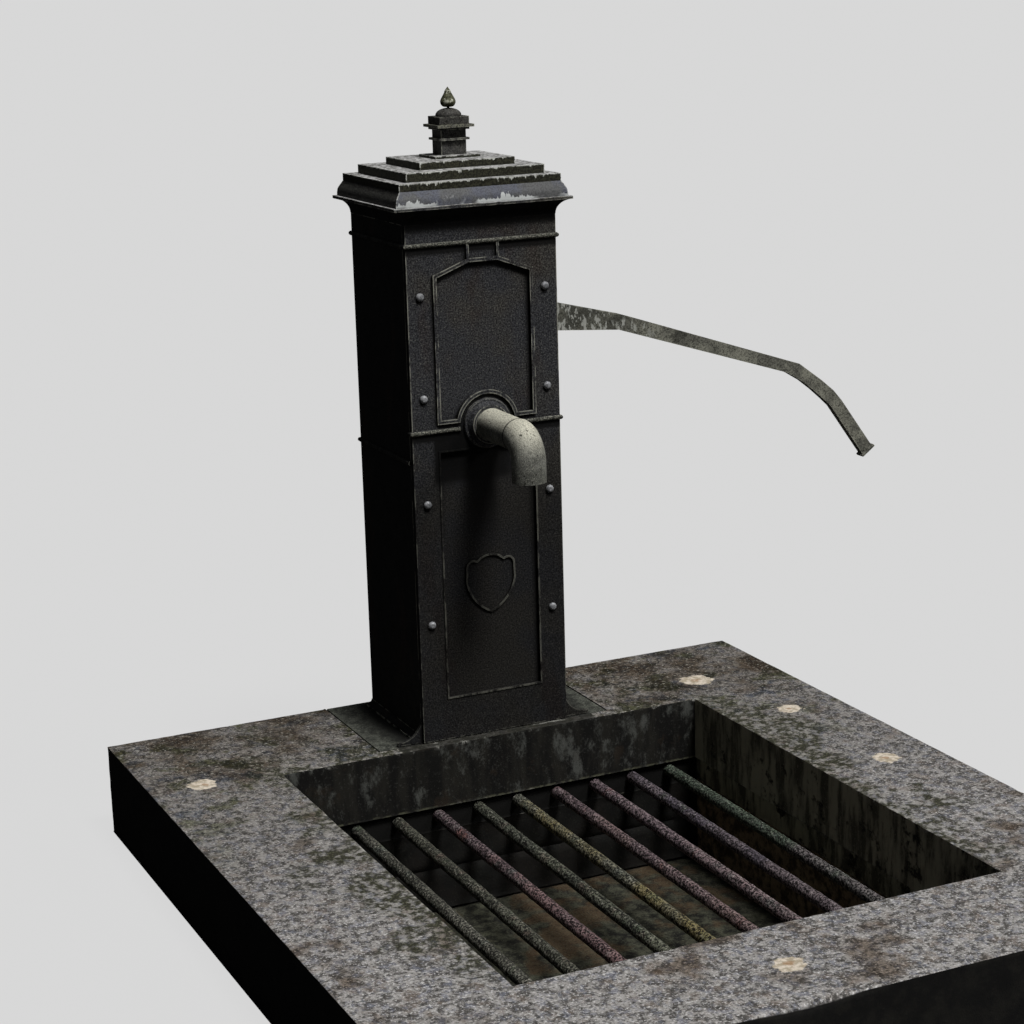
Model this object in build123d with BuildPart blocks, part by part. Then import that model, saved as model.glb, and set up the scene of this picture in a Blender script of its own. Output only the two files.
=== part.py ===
from build123d import *
import os
from math import cos, pi, radians, sin

os.makedirs("parts", exist_ok=True)

# Hand pump in a cast-iron pillar, standing on a stone slab with a grated drain pit.
# +X runs to the side with the lever, -Y to the side with the spout, +Z up.
# The origin is the lower end of the suction pipe, on the pump's axis.

# ------------------------------------------------------------ driving dimensions (mm)
# stone slab and drain pit
slab_width = 1350.0
slab_thickness = 172.0
slab_mid_x = -8.0
slab_front_y = -1389.0
slab_back_y = 158.0
slab_edge_round = 5.0
opening_width = 860.0
opening_front_y = -1135.0
opening_back_y = -152.0
upper_course = 122.0
course_set_back = 8.0
pit_depth = 332.0
pit_floor_thickness = 50.0
pit_wall_thickness = 50.0

# grate and drain
bar_radius = 12.5
bar_pitch = 83.0
bar_count = 10
bar_axis_depth = 140.0
bar_embedment = 40.0
drain_radius = 55.0
drain_bore_radius = 49.0
drain_y = -900.0
drain_rise = 62.0
drain_reach = 72.0

# pillar
column_width = 300.0
column_front_y = -131.0
column_back_y = 131.0
column_height = 977.0
wall = 12.0
cover_thickness = 12.0
cover_lip = 26.0
bead_radius = 4.5
upper_bead_height = 938.0
middle_bead_height = 596.0
side_bead_height = 540.0
foot_toe = 12.0
foot_toe_height = 3.0
bracket_reach = 50.0
bracket_height = 50.0
bracket_toe = 8.0
bracket_thickness = 6.0
base_plate_width = 476.0
base_plate_front_y = -126.0
base_plate_thickness = 8.0
base_plate_joint = 3.0

# spout
spout_height = 602.0
spout_radius = 30.0
spout_bore_radius = 26.0
spout_straight_y = -264.0
spout_bend_radius = 43.0
spout_drop = 34.0
elbow_radius = 31.2

# lever and linkage
lever_thickness = 16.0
pivot_x = 112.0
pivot_height = 780.0
swing_half_angle = 20.0
rest_angle = 14.0
fulcrum_pin_radius = 10.0
crosshead_pin_radius = 8.0
slot_clearance = 0.6
running_clearance = 0.05

# pump barrel and valves
barrel_bore_radius = 50.0
barrel_wall = 8.0
barrel_top = 652.0
rod_radius = 9.0
piston_height = 286.0
piston_valve_lift = 8.0
valve_stop_gap = 0.3
foot_valve_lift = 10.0
suction_radius = 30.15
suction_bore_radius = 26.0
thread_end_radius = 29.8
thread_end_length = 40.0

# small clearance where fixed pieces are fitted into one another
fit = 0.05

# ------------------------------------------------------------ derived values
slab_top = pit_depth + pit_floor_thickness
slab_under = slab_top - slab_thickness
slab_length = slab_back_y - slab_front_y
slab_mid_y = (slab_back_y + slab_front_y) / 2
opening_length = opening_back_y - opening_front_y
opening_mid_y = (opening_back_y + opening_front_y) / 2
pit_inner_width = opening_width + 2 * course_set_back
pit_inner_length = opening_length + 2 * course_set_back
pit_outer_width = pit_inner_width + 2 * pit_wall_thickness
pit_outer_length = pit_inner_length + 2 * pit_wall_thickness
half_width = column_width / 2
casing_front_y = column_front_y + cover_thickness
pivot_z = slab_top + pivot_height
swing = radians(swing_half_angle)
rod_travel_per_radian = pivot_x * (1 + swing**2 / 4)
crosshead_z = pivot_z + rod_travel_per_radian * radians(rest_angle)


def level(height):
    """Horizontal plane at a height above the top of the slab."""
    return Plane.XY.offset(slab_top + height)


def face_plane(y):
    """Vertical plane facing the spout side, with its origin at the top of the slab."""
    return Plane(origin=(0, y, slab_top), x_dir=(1, 0, 0), z_dir=(0, -1, 0))


def save(part, name):
    """Label a finished piece and write it as its own file."""
    part.label = name
    export_step(part, f"parts/{name}.step")


# ------------------------------------------------------------ stone slab
bar_start_y = opening_front_y - course_set_back - bar_embedment
bar_end_y = opening_back_y + course_set_back + bar_embedment
bar_length = bar_end_y - bar_start_y
bar_axis_z = slab_top - bar_axis_depth
bar_start = Plane(origin=(slab_mid_x, bar_start_y, bar_axis_z), x_dir=(1, 0, 0), z_dir=(0, 1, 0))
base_plate_back_y = slab_back_y - base_plate_joint
base_plate_length = base_plate_back_y - base_plate_front_y
base_plate_mid_y = (base_plate_back_y + base_plate_front_y) / 2
anchor_places = [(x, y) for x in (-112, 112) for y in (-84, 88)]
anchor_radius = 8.0
anchor_depth = 110.0
suction_hole_radius = 42.0

with BuildPart() as stone_slab:
    with BuildSketch(level(0)):
        with Locations((slab_mid_x, slab_mid_y)):
            Rectangle(slab_width, slab_length)
    extrude(amount=-slab_thickness)
    fillet(stone_slab.edges().filter_by(Axis.Z, reverse=True).group_by(Axis.Z)[-1], slab_edge_round)
    with BuildSketch(level(0)):
        with Locations((slab_mid_x, opening_mid_y)):
            Rectangle(opening_width, opening_length)
    extrude(amount=-slab_thickness, mode=Mode.SUBTRACT)
    with BuildSketch(level(-slab_thickness)):
        with Locations((slab_mid_x, opening_mid_y)):
            Rectangle(pit_inner_width, pit_inner_length)
    extrude(amount=slab_thickness - upper_course, mode=Mode.SUBTRACT)
    with BuildSketch(level(0)):
        with Locations((0, base_plate_mid_y)):
            Rectangle(base_plate_width + 2 * base_plate_joint, base_plate_length + 2 * base_plate_joint)
    extrude(amount=-base_plate_thickness, mode=Mode.SUBTRACT)
    with BuildSketch(level(0)):
        Circle(suction_hole_radius)
    extrude(amount=-slab_thickness, mode=Mode.SUBTRACT)
    with BuildSketch(level(0)):
        with Locations(*anchor_places):
            Circle(anchor_radius + fit)
    extrude(amount=-anchor_depth, mode=Mode.SUBTRACT)
    with BuildSketch(bar_start):
        with GridLocations(bar_pitch, 0, bar_count, 1):
            Circle(bar_radius + fit)
    extrude(amount=bar_length, mode=Mode.SUBTRACT)
save(stone_slab.part, "stone_slab")

# ------------------------------------------------------------ drain pit under the slab
drain_z = pit_floor_thickness + drain_rise
pit_side_x = slab_mid_x - pit_inner_width / 2
drain_end_x = pit_side_x - pit_wall_thickness - drain_reach

with BuildPart() as pit_walls:
    with BuildSketch(Plane.XY.offset(pit_floor_thickness)):
        with Locations((slab_mid_x, opening_mid_y)):
            Rectangle(pit_outer_width, pit_outer_length)
            Rectangle(pit_inner_width, pit_inner_length, mode=Mode.SUBTRACT)
    extrude(amount=slab_under - pit_floor_thickness)
    with BuildSketch(Plane(origin=(pit_side_x, drain_y, drain_z), z_dir=(-1, 0, 0))):
        Circle(drain_radius + fit)
    extrude(amount=pit_wall_thickness, mode=Mode.SUBTRACT)
save(pit_walls.part, "pit_walls")

with BuildPart() as pit_floor:
    with BuildSketch(Plane.XY):
        with Locations((slab_mid_x, opening_mid_y)):
            Rectangle(pit_outer_width, pit_outer_length)
    extrude(amount=pit_floor_thickness)
save(pit_floor.part, "pit_floor")

drain_spigot_radius = drain_radius - 1.0
drain_spigot_length = 50.0
with BuildPart() as drain_pipe:
    with BuildSketch(Plane(origin=(pit_side_x, drain_y, drain_z), z_dir=(-1, 0, 0))):
        Circle(drain_radius)
    extrude(amount=pit_side_x - drain_end_x - drain_spigot_length)
    with BuildSketch(Plane(origin=(drain_end_x, drain_y, drain_z), z_dir=(1, 0, 0))):
        Circle(drain_spigot_radius)
    extrude(amount=drain_spigot_length)
    with BuildSketch(Plane(origin=(pit_side_x, drain_y, drain_z), z_dir=(-1, 0, 0))):
        Circle(drain_bore_radius)
    extrude(amount=pit_side_x - drain_end_x, mode=Mode.SUBTRACT)
save(drain_pipe.part, "drain_pipe")

with BuildPart() as grate_bars:
    with BuildSketch(bar_start):
        with GridLocations(bar_pitch, 0, bar_count, 1):
            Circle(bar_radius)
    extrude(amount=bar_length)
save(grate_bars.part, "grate_bars")

# ------------------------------------------------------------ base plate and anchor bolts
flange_stud_radius = 6.0
flange_stud_circle = 70.0
flange_stud_count = 6
foot_lug_thickness = 14.0
suction_hole_gap = 4.0
plate_chamfer = 0.8

with BuildPart() as base_plate:
    with BuildSketch(level(-base_plate_thickness)):
        with Locations((0, base_plate_mid_y)):
            Rectangle(base_plate_width, base_plate_length)
        Circle(suction_radius + suction_hole_gap, mode=Mode.SUBTRACT)
        with Locations(*anchor_places):
            Circle(anchor_radius + fit, mode=Mode.SUBTRACT)
        with PolarLocations(flange_stud_circle, flange_stud_count, start_angle=30):
            Circle(flange_stud_radius + fit, mode=Mode.SUBTRACT)
    extrude(amount=base_plate_thickness)
    chamfer(base_plate.edges().group_by(Axis.Z)[-1].filter_by(GeomType.LINE), plate_chamfer)
save(base_plate.part, "base_plate")

anchor_nut_across = 24.0
anchor_nut_height = 13.0
anchor_top = 34.0
with BuildPart() as anchor_bolts:
    with BuildSketch(level(-anchor_depth)):
        with Locations(*anchor_places):
            Circle(anchor_radius)
    extrude(amount=anchor_depth + anchor_top)
    with BuildSketch(level(foot_lug_thickness)):
        with Locations(*anchor_places):
            RegularPolygon(anchor_nut_across / 2, 6, major_radius=False)
    extrude(amount=anchor_nut_height)
save(anchor_bolts.part, "anchor_bolts")

# ------------------------------------------------------------ column casing
casing_depth = column_back_y - casing_front_y
casing_mid_y = (column_back_y + casing_front_y) / 2
cavity_front_y = casing_front_y + wall
cavity_back_y = column_back_y - wall
cavity_depth = cavity_back_y - cavity_front_y
cavity_mid_y = (cavity_back_y + cavity_front_y) / 2
cavity_width = column_width - 2 * wall
cover_opening_width = cavity_width - 2 * cover_lip
lug_width = 52.0
lug_depth = 52.0
lug_root = 4.0
foot_cove_margin = 1.0
foot_cove = foot_toe - foot_cove_margin
foot_height = foot_toe_height + foot_cove
slot_side_gap = 2.0
slot_width = lever_thickness + 2 * slot_side_gap
slot_low = 728.0
slot_high = 840.0
slot_mid = (slot_low + slot_high) / 2
screw_x = 125.0
screw_heights = (230.0, 461.0, 659.0, 846.0)
screw_places = [(x, z) for x in (-screw_x, screw_x) for z in screw_heights]
screw_radius = 5.0
bracket_bolt_radius = 5.0
bracket_bolt_y = 32.0
bracket_bolt_rise = 58.0
bracket_bolt_places = [
    (y, z)
    for y in (-bracket_bolt_y, bracket_bolt_y)
    for z in (slot_mid - bracket_bolt_rise, slot_mid + bracket_bolt_rise)
]
bridge_thickness = 12.0
bridge_top = 930.0
ledge_reach = 20.0
ledge_width = 50.0
ledge_root = 2.0


def side_start(height):
    """Upright plane square to the left side of the casing, at its front edge."""
    return Plane(origin=(-half_width, casing_front_y, slab_top + height), x_dir=(-1, 0, 0), z_dir=(0, 1, 0))


def side_points(height):
    """The left, back and right sides of the casing at one height."""
    z = slab_top + height
    return [
        (-half_width, casing_front_y, z),
        (-half_width, column_back_y, z),
        (half_width, column_back_y, z),
        (half_width, casing_front_y, z),
    ]


right_face = Plane(origin=(half_width, 0, slab_top), x_dir=(0, 1, 0), z_dir=(1, 0, 0))

with BuildPart() as column_casing:
    with BuildSketch(level(0)):
        with Locations((0, casing_mid_y)):
            Rectangle(column_width, casing_depth)
        with Locations((0, cavity_mid_y)):
            Rectangle(cavity_width, cavity_depth, mode=Mode.SUBTRACT)
        with Locations((0, casing_front_y + wall / 2)):
            Rectangle(cover_opening_width, wall, mode=Mode.SUBTRACT)
    extrude(amount=column_height)
    # cove foot round three sides
    with BuildSketch(side_start(0)):
        with BuildLine():
            Line((-wall / 2, 0), (foot_toe, 0))
            Line((foot_toe, 0), (foot_toe, foot_toe_height))
            RadiusArc((foot_toe, foot_toe_height), (foot_cove_margin, foot_height), foot_cove)
            Line((foot_cove_margin, foot_height), (-wall / 2, foot_height))
            Line((-wall / 2, foot_height), (-wall / 2, 0))
        make_face()
    with BuildLine(mode=Mode.PRIVATE) as foot_path:
        Polyline(*side_points(0))
    sweep(path=foot_path.line, transition=Transition.RIGHT)
    # half-round beads round three sides
    for bead_height in (side_bead_height, upper_bead_height):
        with BuildSketch(side_start(bead_height)):
            Circle(bead_radius)
        with BuildLine(mode=Mode.PRIVATE) as bead_path:
            Polyline(*side_points(bead_height))
        sweep(path=bead_path.line, transition=Transition.RIGHT)
    # foot lugs inside the four corners
    lug_x = (cavity_width + lug_root - lug_width) / 2
    lug_y = (cavity_depth + lug_root - lug_depth) / 2
    with BuildSketch(level(0)):
        with Locations((0, cavity_mid_y)):
            with GridLocations(2 * lug_x, 2 * lug_y, 2, 2):
                Rectangle(lug_width, lug_depth)
    extrude(amount=foot_lug_thickness)
    # ledges that hold the cap bridge down
    with BuildSketch(level(bridge_top)):
        for x in (-1, 1):
            with Locations((x * (cavity_width - ledge_reach + ledge_root) / 2, 0)):
                Rectangle(ledge_reach + ledge_root, ledge_width)
    extrude(amount=bridge_thickness)
    with BuildSketch(level(0)):
        with Locations(*anchor_places):
            Circle(anchor_radius + fit)
    extrude(amount=foot_lug_thickness, mode=Mode.SUBTRACT)
    # lever slot and bracket bolt holes in the right wall
    with BuildSketch(right_face):
        with Locations((0, slot_mid)):
            Rectangle(slot_width, slot_high - slot_low)
        with Locations(*bracket_bolt_places):
            Circle(bracket_bolt_radius + fit)
    extrude(amount=-wall, mode=Mode.SUBTRACT)
    # threaded holes for the cover screws
    with BuildSketch(face_plane(casing_front_y)):
        with Locations(*screw_places):
            Circle(screw_radius + fit)
    extrude(amount=-wall, mode=Mode.SUBTRACT)
save(column_casing.part, "column_casing")

# ------------------------------------------------------------ front cover
cover_foot_gap = 2.0
bracket_root = half_width - wall
bracket_end = half_width + bracket_reach
bracket_radius = 46.0
frame_band = 7.0
frame_height = 4.0
field_depth = 3.0
frame_bottom = 609.0
frame_spring = 883.0
frame_crown = 909.0
frame_half_width = 100.0
crown_half_width = 30.0
arch_radius = 62.5
rib_width = 5.0
rib_root = 1.0
panel_half_width = 96.0
panel_bottom = 84.0
panel_top = 556.0
panel_depth = 6.0
panel_rim = 3.0
panel_rim_height = 1.5
shield_rim = 3.4
shield_rim_height = 3.0
bead_clearing = 1.0
cover_hole_gap = 1.0
screw_dome = 5.0
screw_end = 3.0
rosette_radius = 47.0
cover_face = face_plane(column_front_y)


def frame_outline():
    """Upper frame: straight sides, sloping shoulders and a flat crown."""
    return [
        (-frame_half_width, frame_bottom),
        (-frame_half_width, frame_spring),
        (-crown_half_width, frame_crown),
        (crown_half_width, frame_crown),
        (frame_half_width, frame_spring),
        (frame_half_width, frame_bottom),
    ]


def shield_outline():
    """Plain shield: a humped top edge and two curved sides that meet in a point."""
    ThreePointArc((-50, 331), (-42, 341), (-28, 340))
    ThreePointArc((-28, 340), (0, 351), (28, 340))
    ThreePointArc((28, 340), (42, 341), (50, 331))
    Line((50, 331), (51, 300))
    ThreePointArc((51, 300), (34, 262), (0, 237))
    ThreePointArc((0, 237), (-34, 262), (-51, 300))
    Line((-51, 300), (-50, 331))


with BuildPart() as front_cover:
    with BuildSketch(cover_face):
        with Locations((0, (column_height + cover_foot_gap) / 2)):
            Rectangle(column_width, column_height - cover_foot_gap)
    extrude(amount=-cover_thickness)
    # foot brackets: a thin web with a hollow edge at each side
    with BuildSketch(face_plane(casing_front_y)):
        for side in (-1, 1):
            root, edge, end = [side * reach for reach in (bracket_root, half_width, bracket_end)]
            with BuildLine():
                Line((root, cover_foot_gap), (end, cover_foot_gap))
                Line((end, cover_foot_gap), (end, bracket_toe))
                RadiusArc((end, bracket_toe), (edge, bracket_height), side * bracket_radius)
                Line((edge, bracket_height), (root, bracket_height))
                Line((root, bracket_height), (root, cover_foot_gap))
            make_face()
    extrude(amount=bracket_thickness)
    # beads across the face, returned round both corners
    for bead_height in (middle_bead_height, upper_bead_height):
        with BuildSketch(side_start(bead_height)):
            Circle(bead_radius)
        with BuildLine(mode=Mode.PRIVATE) as bead_path:
            Polyline(
                (-half_width, casing_front_y, slab_top + bead_height),
                (-half_width, column_front_y, slab_top + bead_height),
                (half_width, column_front_y, slab_top + bead_height),
                (half_width, casing_front_y, slab_top + bead_height),
            )
        sweep(path=bead_path.line, transition=Transition.RIGHT)
    # upper frame: recessed field inside a raised band that arches over the spout
    with BuildSketch(cover_face) as frame_field:
        with BuildLine():
            Polyline(*frame_outline(), close=True)
        make_face()
        with Locations((0, spout_height)):
            Circle(arch_radius - frame_band, mode=Mode.SUBTRACT)
        offset(amount=-frame_band, kind=Kind.INTERSECTION, mode=Mode.REPLACE)
    extrude(amount=-field_depth, mode=Mode.SUBTRACT)
    with BuildSketch(cover_face):
        with BuildLine():
            Polyline(*frame_outline(), close=True)
        make_face()
        with Locations((0, spout_height)):
            Circle(arch_radius - frame_band, mode=Mode.SUBTRACT)
        add(frame_field.sketch_local, mode=Mode.SUBTRACT)
        with Locations(*[(x * crown_half_width, (frame_crown + upper_bead_height) / 2) for x in (-1, 1)]):
            Rectangle(rib_width, upper_bead_height - frame_crown + 2 * rib_root)
    extrude(amount=frame_height)
    # lower panel: a recess with a thin rim
    panel_mid = (panel_top + panel_bottom) / 2
    panel_height = panel_top - panel_bottom
    with BuildSketch(cover_face):
        with Locations((0, panel_mid)):
            Rectangle(2 * (panel_half_width + panel_rim), panel_height + 2 * panel_rim)
            Rectangle(2 * panel_half_width, panel_height, mode=Mode.SUBTRACT)
    extrude(amount=panel_rim_height)
    with BuildSketch(cover_face):
        with Locations((0, panel_mid)):
            Rectangle(2 * panel_half_width, panel_height)
    extrude(amount=-panel_depth, mode=Mode.SUBTRACT)
    # clear the middle bead and the panel's rim inside the arch
    with BuildSketch(cover_face):
        with Locations((0, spout_height)):
            Circle(arch_radius - frame_band)
    extrude(amount=bead_radius + bead_clearing, mode=Mode.SUBTRACT)
    # plain shield outline on the lower panel
    with BuildSketch(face_plane(column_front_y + panel_depth)):
        with BuildLine():
            shield_outline()
        make_face()
        offset(amount=-shield_rim, mode=Mode.SUBTRACT)
    extrude(amount=shield_rim_height)
    # holes for the spout and the cover screws
    with BuildSketch(face_plane(casing_front_y)):
        with Locations((0, spout_height)):
            Circle(spout_radius + cover_hole_gap)
        with Locations(*screw_places):
            Circle(screw_radius + fit)
    extrude(amount=cover_thickness + frame_height, mode=Mode.SUBTRACT)
save(front_cover.part, "front_cover")

screw_head_radius = 7.5
screw_head_height = 6.0
with BuildPart() as cover_screws:
    with BuildSketch(cover_face):
        with Locations(*screw_places):
            Circle(screw_radius)
    extrude(amount=-(cover_thickness + wall + screw_end))
    with BuildSketch(cover_face):
        with Locations(*screw_places):
            Circle(screw_head_radius)
    extrude(amount=screw_head_height)
    fillet(cover_screws.edges().group_by(Axis.Y)[0], screw_dome)
save(cover_screws.part, "cover_screws")

# ------------------------------------------------------------ cap
# half sizes in X and Y of each level of the cap, with its height above the slab
eave_foot = column_height
lip_low = 1003.5
lip_high = 1009.0
slope_knee = 1021.0
slope_round = 22.0
slope_head = 1036.8
step_a_top = 1050.3
step_b_top = 1067.0
step_c_top = 1080.6
crown_plate_top = 1085.5
lip_half = (177.0, 152.0)
slope_foot_half = (170.0, 146.0)
slope_head_half = (160.0, 138.0)
step_b_half = (137.0, 117.0)
step_c_half = (94.5, 81.0)
crown_half = (45.0, 38.0)
cove_size = 21.0
cove_root = 4.0
cove_start = 0.5
cove_arc_radius = 27.3
slope_skin = 10.0
step_skin = 3.0
hollow_a_half = (128.0, 108.0)
hollow_b_half = (86.0, 73.0)
tie_stud_radius = 6.0


def block(low, high, half, mode=Mode.ADD):
    """Rectangular layer between two heights, given by its half sizes."""
    with BuildSketch(level(low)) as layer:
        Rectangle(2 * half[0], 2 * half[1])
    extrude(layer.sketch, amount=high - low, mode=mode)


with BuildPart() as cap:
    block(eave_foot, lip_low, (half_width, column_back_y))
    # hollow eave: a cove swept round all four sides
    with BuildSketch(Plane(origin=(0, column_front_y, slab_top), x_dir=(0, -1, 0), z_dir=(-1, 0, 0))):
        with BuildLine():
            Line((-cove_root, eave_foot), (cove_start, eave_foot))
            RadiusArc((cove_start, eave_foot), (cove_size, lip_low), cove_arc_radius)
            Line((cove_size, lip_low), (-cove_root, lip_low))
            Line((-cove_root, lip_low), (-cove_root, eave_foot))
        make_face()
    with BuildLine(mode=Mode.PRIVATE) as eave_path:
        z = slab_top + eave_foot
        Polyline(
            (0, column_front_y, z),
            (-half_width, column_front_y, z),
            (-half_width, column_back_y, z),
            (half_width, column_back_y, z),
            (half_width, column_front_y, z),
            (0, column_front_y, z),
        )
    sweep(path=eave_path.line, transition=Transition.RIGHT)
    block(lip_low, lip_high, lip_half)
    block(lip_high, slope_knee, slope_foot_half)
    with BuildSketch(level(slope_knee)):
        Rectangle(2 * slope_foot_half[0], 2 * slope_foot_half[1])
    with BuildSketch(level(slope_head)):
        Rectangle(2 * slope_head_half[0], 2 * slope_head_half[1])
    loft()
    knee_edges = cap.edges().filter_by_position(Axis.Z, slab_top + slope_knee - 1, slab_top + slope_knee + 1)
    fillet(knee_edges, slope_round)
    block(slope_head, step_a_top, slope_head_half)
    block(step_a_top, step_b_top, step_b_half)
    block(step_b_top, step_c_top, step_c_half)
    block(step_c_top, crown_plate_top, crown_half)
    # hollow underside
    block(eave_foot, slope_head - slope_skin, (half_width - wall, column_back_y - wall), Mode.SUBTRACT)
    block(slope_head - slope_skin, step_a_top - step_skin, hollow_a_half, Mode.SUBTRACT)
    block(step_a_top - step_skin, step_b_top - step_skin, hollow_b_half, Mode.SUBTRACT)
    with BuildSketch(level(step_b_top - step_skin)):
        Circle(tie_stud_radius + fit)
    extrude(amount=crown_plate_top - step_b_top + step_skin, mode=Mode.SUBTRACT)
save(cap.part, "cap")

bridge_width = 30.0
bridge_end_gap = 2.0
with BuildPart() as cap_bridge:
    with BuildSketch(level(bridge_top - bridge_thickness)):
        Rectangle(cavity_width - 2 * bridge_end_gap, bridge_width)
        Circle(tie_stud_radius + fit, mode=Mode.SUBTRACT)
    extrude(amount=bridge_thickness)
save(cap_bridge.part, "cap_bridge")

tie_stud_low = 896.0
tie_stud_high = 1112.0
with BuildPart() as tie_stud:
    with BuildSketch(level(tie_stud_low)):
        Circle(tie_stud_radius)
    extrude(amount=tie_stud_high - tie_stud_low)
save(tie_stud.part, "tie_stud")

tie_nut_height = 10.0
tie_nut_across = 19.0
with BuildPart() as tie_nut:
    with BuildSketch(level(bridge_top - bridge_thickness - tie_nut_height)):
        RegularPolygon(tie_nut_across / 2, 6, major_radius=False)
        Circle(tie_stud_radius + fit, mode=Mode.SUBTRACT)
    extrude(amount=tie_nut_height)
save(tie_nut.part, "tie_nut")

# ------------------------------------------------------------ finial
neck_half = (25.0, 20.5)
ring_half = (30.0, 25.5)
abacus_foot_half = (30.0, 26.0)
abacus_half = (36.5, 34.0)
finial_block_half = (29.5, 27.0)
neck_top = 1131.0
ring_low = 1112.0
ring_high = 1116.0
abacus_low = 1135.5
abacus_high = 1140.4
finial_block_top = 1154.8
dome_top = 1169.5
dome_radius = 24.0
dome_foot = 1.5
dome_foot_top = finial_block_top + dome_foot
drop_low = 1171.0
drop_wide_height = 1180.5
drop_radius = 14.3
drop_tip = 1208.0
drop_foot_radius = 12.0
drop_foot_rise = 3.2
drop_shoulder_radius = 12.8
drop_shoulder_rise = 5.2
drop_neck_radius = 6.0
drop_neck_rise = 18.0
drop_stem_radius = 2.5
stem_depth = 11.0
stem_reach = 16.0
stem_end_gap = 1.0

with BuildPart() as finial_pedestal:
    block(crown_plate_top, neck_top, neck_half)
    block(ring_low, ring_high, ring_half)
    block(neck_top, abacus_low, abacus_foot_half)
    block(abacus_low, abacus_high, abacus_half)
    block(abacus_high, finial_block_top, finial_block_half)
    with BuildSketch(Plane.XZ):
        with BuildLine():
            Line((0, slab_top + finial_block_top), (dome_radius, slab_top + finial_block_top))
            Line((dome_radius, slab_top + finial_block_top), (dome_radius, slab_top + dome_foot_top))
            EllipticalCenterArc(
                (0, slab_top + dome_foot_top),
                dome_radius,
                dome_top - dome_foot_top,
                start_angle=0,
                arc_size=90,
            )
            Line((0, slab_top + dome_top), (0, slab_top + finial_block_top))
        make_face()
    revolve(axis=Axis.Z)
    with BuildSketch(level(crown_plate_top)):
        Circle(tie_stud_radius + fit)
    extrude(amount=tie_stud_high - crown_plate_top + stem_end_gap, mode=Mode.SUBTRACT)
    with BuildSketch(level(dome_top - stem_depth - stem_end_gap)):
        Circle(drop_stem_radius + fit)
    extrude(amount=2 * stem_depth, mode=Mode.SUBTRACT)
save(finial_pedestal.part, "finial_pedestal")

with BuildPart() as finial_drop:
    with BuildSketch(Plane.XZ):
        with BuildLine():
            Line((0, slab_top + drop_tip), (0, slab_top + drop_low))
            Spline(
                (0, slab_top + drop_low),
                (drop_foot_radius, slab_top + drop_low + drop_foot_rise),
                (drop_radius, slab_top + drop_wide_height),
                (drop_shoulder_radius, slab_top + drop_wide_height + drop_shoulder_rise),
                (drop_neck_radius, slab_top + drop_wide_height + drop_neck_rise),
                (0, slab_top + drop_tip),
                tangents=[(1, 0), (-0.75, 1)],
            )
        make_face()
    revolve(axis=Axis.Z)
    with BuildSketch(level(dome_top - stem_depth)):
        Circle(drop_stem_radius)
    extrude(amount=stem_reach)
save(finial_drop.part, "finial_drop")

# ------------------------------------------------------------ spout
rosette_thickness = 6.0
rosette_bead = 3.0
rosette_hub_wide = 42.0
rosette_hub_narrow = 36.0
rosette_reach = 19.0
rosette_collar = 4.0
bend_y = spout_straight_y
bend_z = slab_top + spout_height - spout_bend_radius
outlet_y = spout_straight_y - spout_bend_radius
outlet_z = bend_z - spout_drop
spout_tail_y = -79.0

with BuildPart() as spout_rosette:
    with BuildSketch(cover_face):
        with Locations((0, spout_height)):
            Circle(rosette_radius)
    extrude(amount=rosette_thickness)
    fillet(spout_rosette.edges().group_by(Axis.Y)[0], rosette_bead)
    with BuildSketch(face_plane(column_front_y - rosette_thickness)):
        with Locations((0, spout_height)):
            Circle(rosette_hub_wide)
    with BuildSketch(face_plane(column_front_y - rosette_reach + rosette_collar / 2)):
        with Locations((0, spout_height)):
            Circle(rosette_hub_narrow - 1)
    loft()
    with BuildSketch(face_plane(column_front_y - rosette_reach + rosette_collar)):
        with Locations((0, spout_height)):
            Circle(rosette_hub_narrow)
    extrude(amount=rosette_collar)
    with BuildSketch(cover_face):
        with Locations((0, spout_height)):
            Circle(spout_radius + fit)
    extrude(amount=rosette_reach, mode=Mode.SUBTRACT)
save(spout_rosette.part, "spout_rosette")

with BuildPart() as spout_pipe:
    with BuildSketch(face_plane(spout_tail_y)):
        with Locations((0, spout_height)):
            Circle(spout_radius)
            Circle(spout_bore_radius, mode=Mode.SUBTRACT)
    extrude(amount=spout_tail_y - spout_straight_y)
save(spout_pipe.part, "spout_pipe")

with BuildLine() as elbow_path:
    ThreePointArc(
        (0, bend_y, slab_top + spout_height),
        (
            0,
            bend_y - spout_bend_radius * sin(pi / 4),
            bend_z + spout_bend_radius * cos(pi / 4),
        ),
        (0, outlet_y, bend_z),
    )
    Line((0, outlet_y, bend_z), (0, outlet_y, outlet_z))

with BuildPart() as spout_elbow:
    with BuildSketch(face_plane(spout_straight_y)):
        with Locations((0, spout_height)):
            Circle(elbow_radius)
    sweep(path=elbow_path.line)
    with BuildSketch(face_plane(spout_straight_y)):
        with Locations((0, spout_height)):
            Circle(spout_bore_radius)
    sweep(path=elbow_path.line, mode=Mode.SUBTRACT)
save(spout_elbow.part, "spout_elbow")

# ------------------------------------------------------------ lever
lever_top_edge = [(150, 806), (345, 756), (371, 747.6), (754, 616.6), (808, 576.6), (836, 553), (856, 530)]
lever_tip = [(930, 427), (908.1, 411.2)]
lever_bottom_edge = [(830, 520), (812, 537), (787, 559), (759, 580.8), (726, 600.8), (342, 725.6), (150, 742)]
hub_radius = 32.0
arm_half_height = 18.6
arm_reach = 137.0
arm_taper_end = 88.0
arm_end_round = 10.0
hub_inset = 3.0
bush_radius = 14.0
slot_centre = rod_travel_per_radian
slot_travel = 8.6
lever_mid = face_plane(0)
arm_plane = Plane(
    origin=(pivot_x, 0, pivot_z),
    x_dir=(-cos(radians(rest_angle)), 0, sin(radians(rest_angle))),
    z_dir=(0, -1, 0),
)

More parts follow.
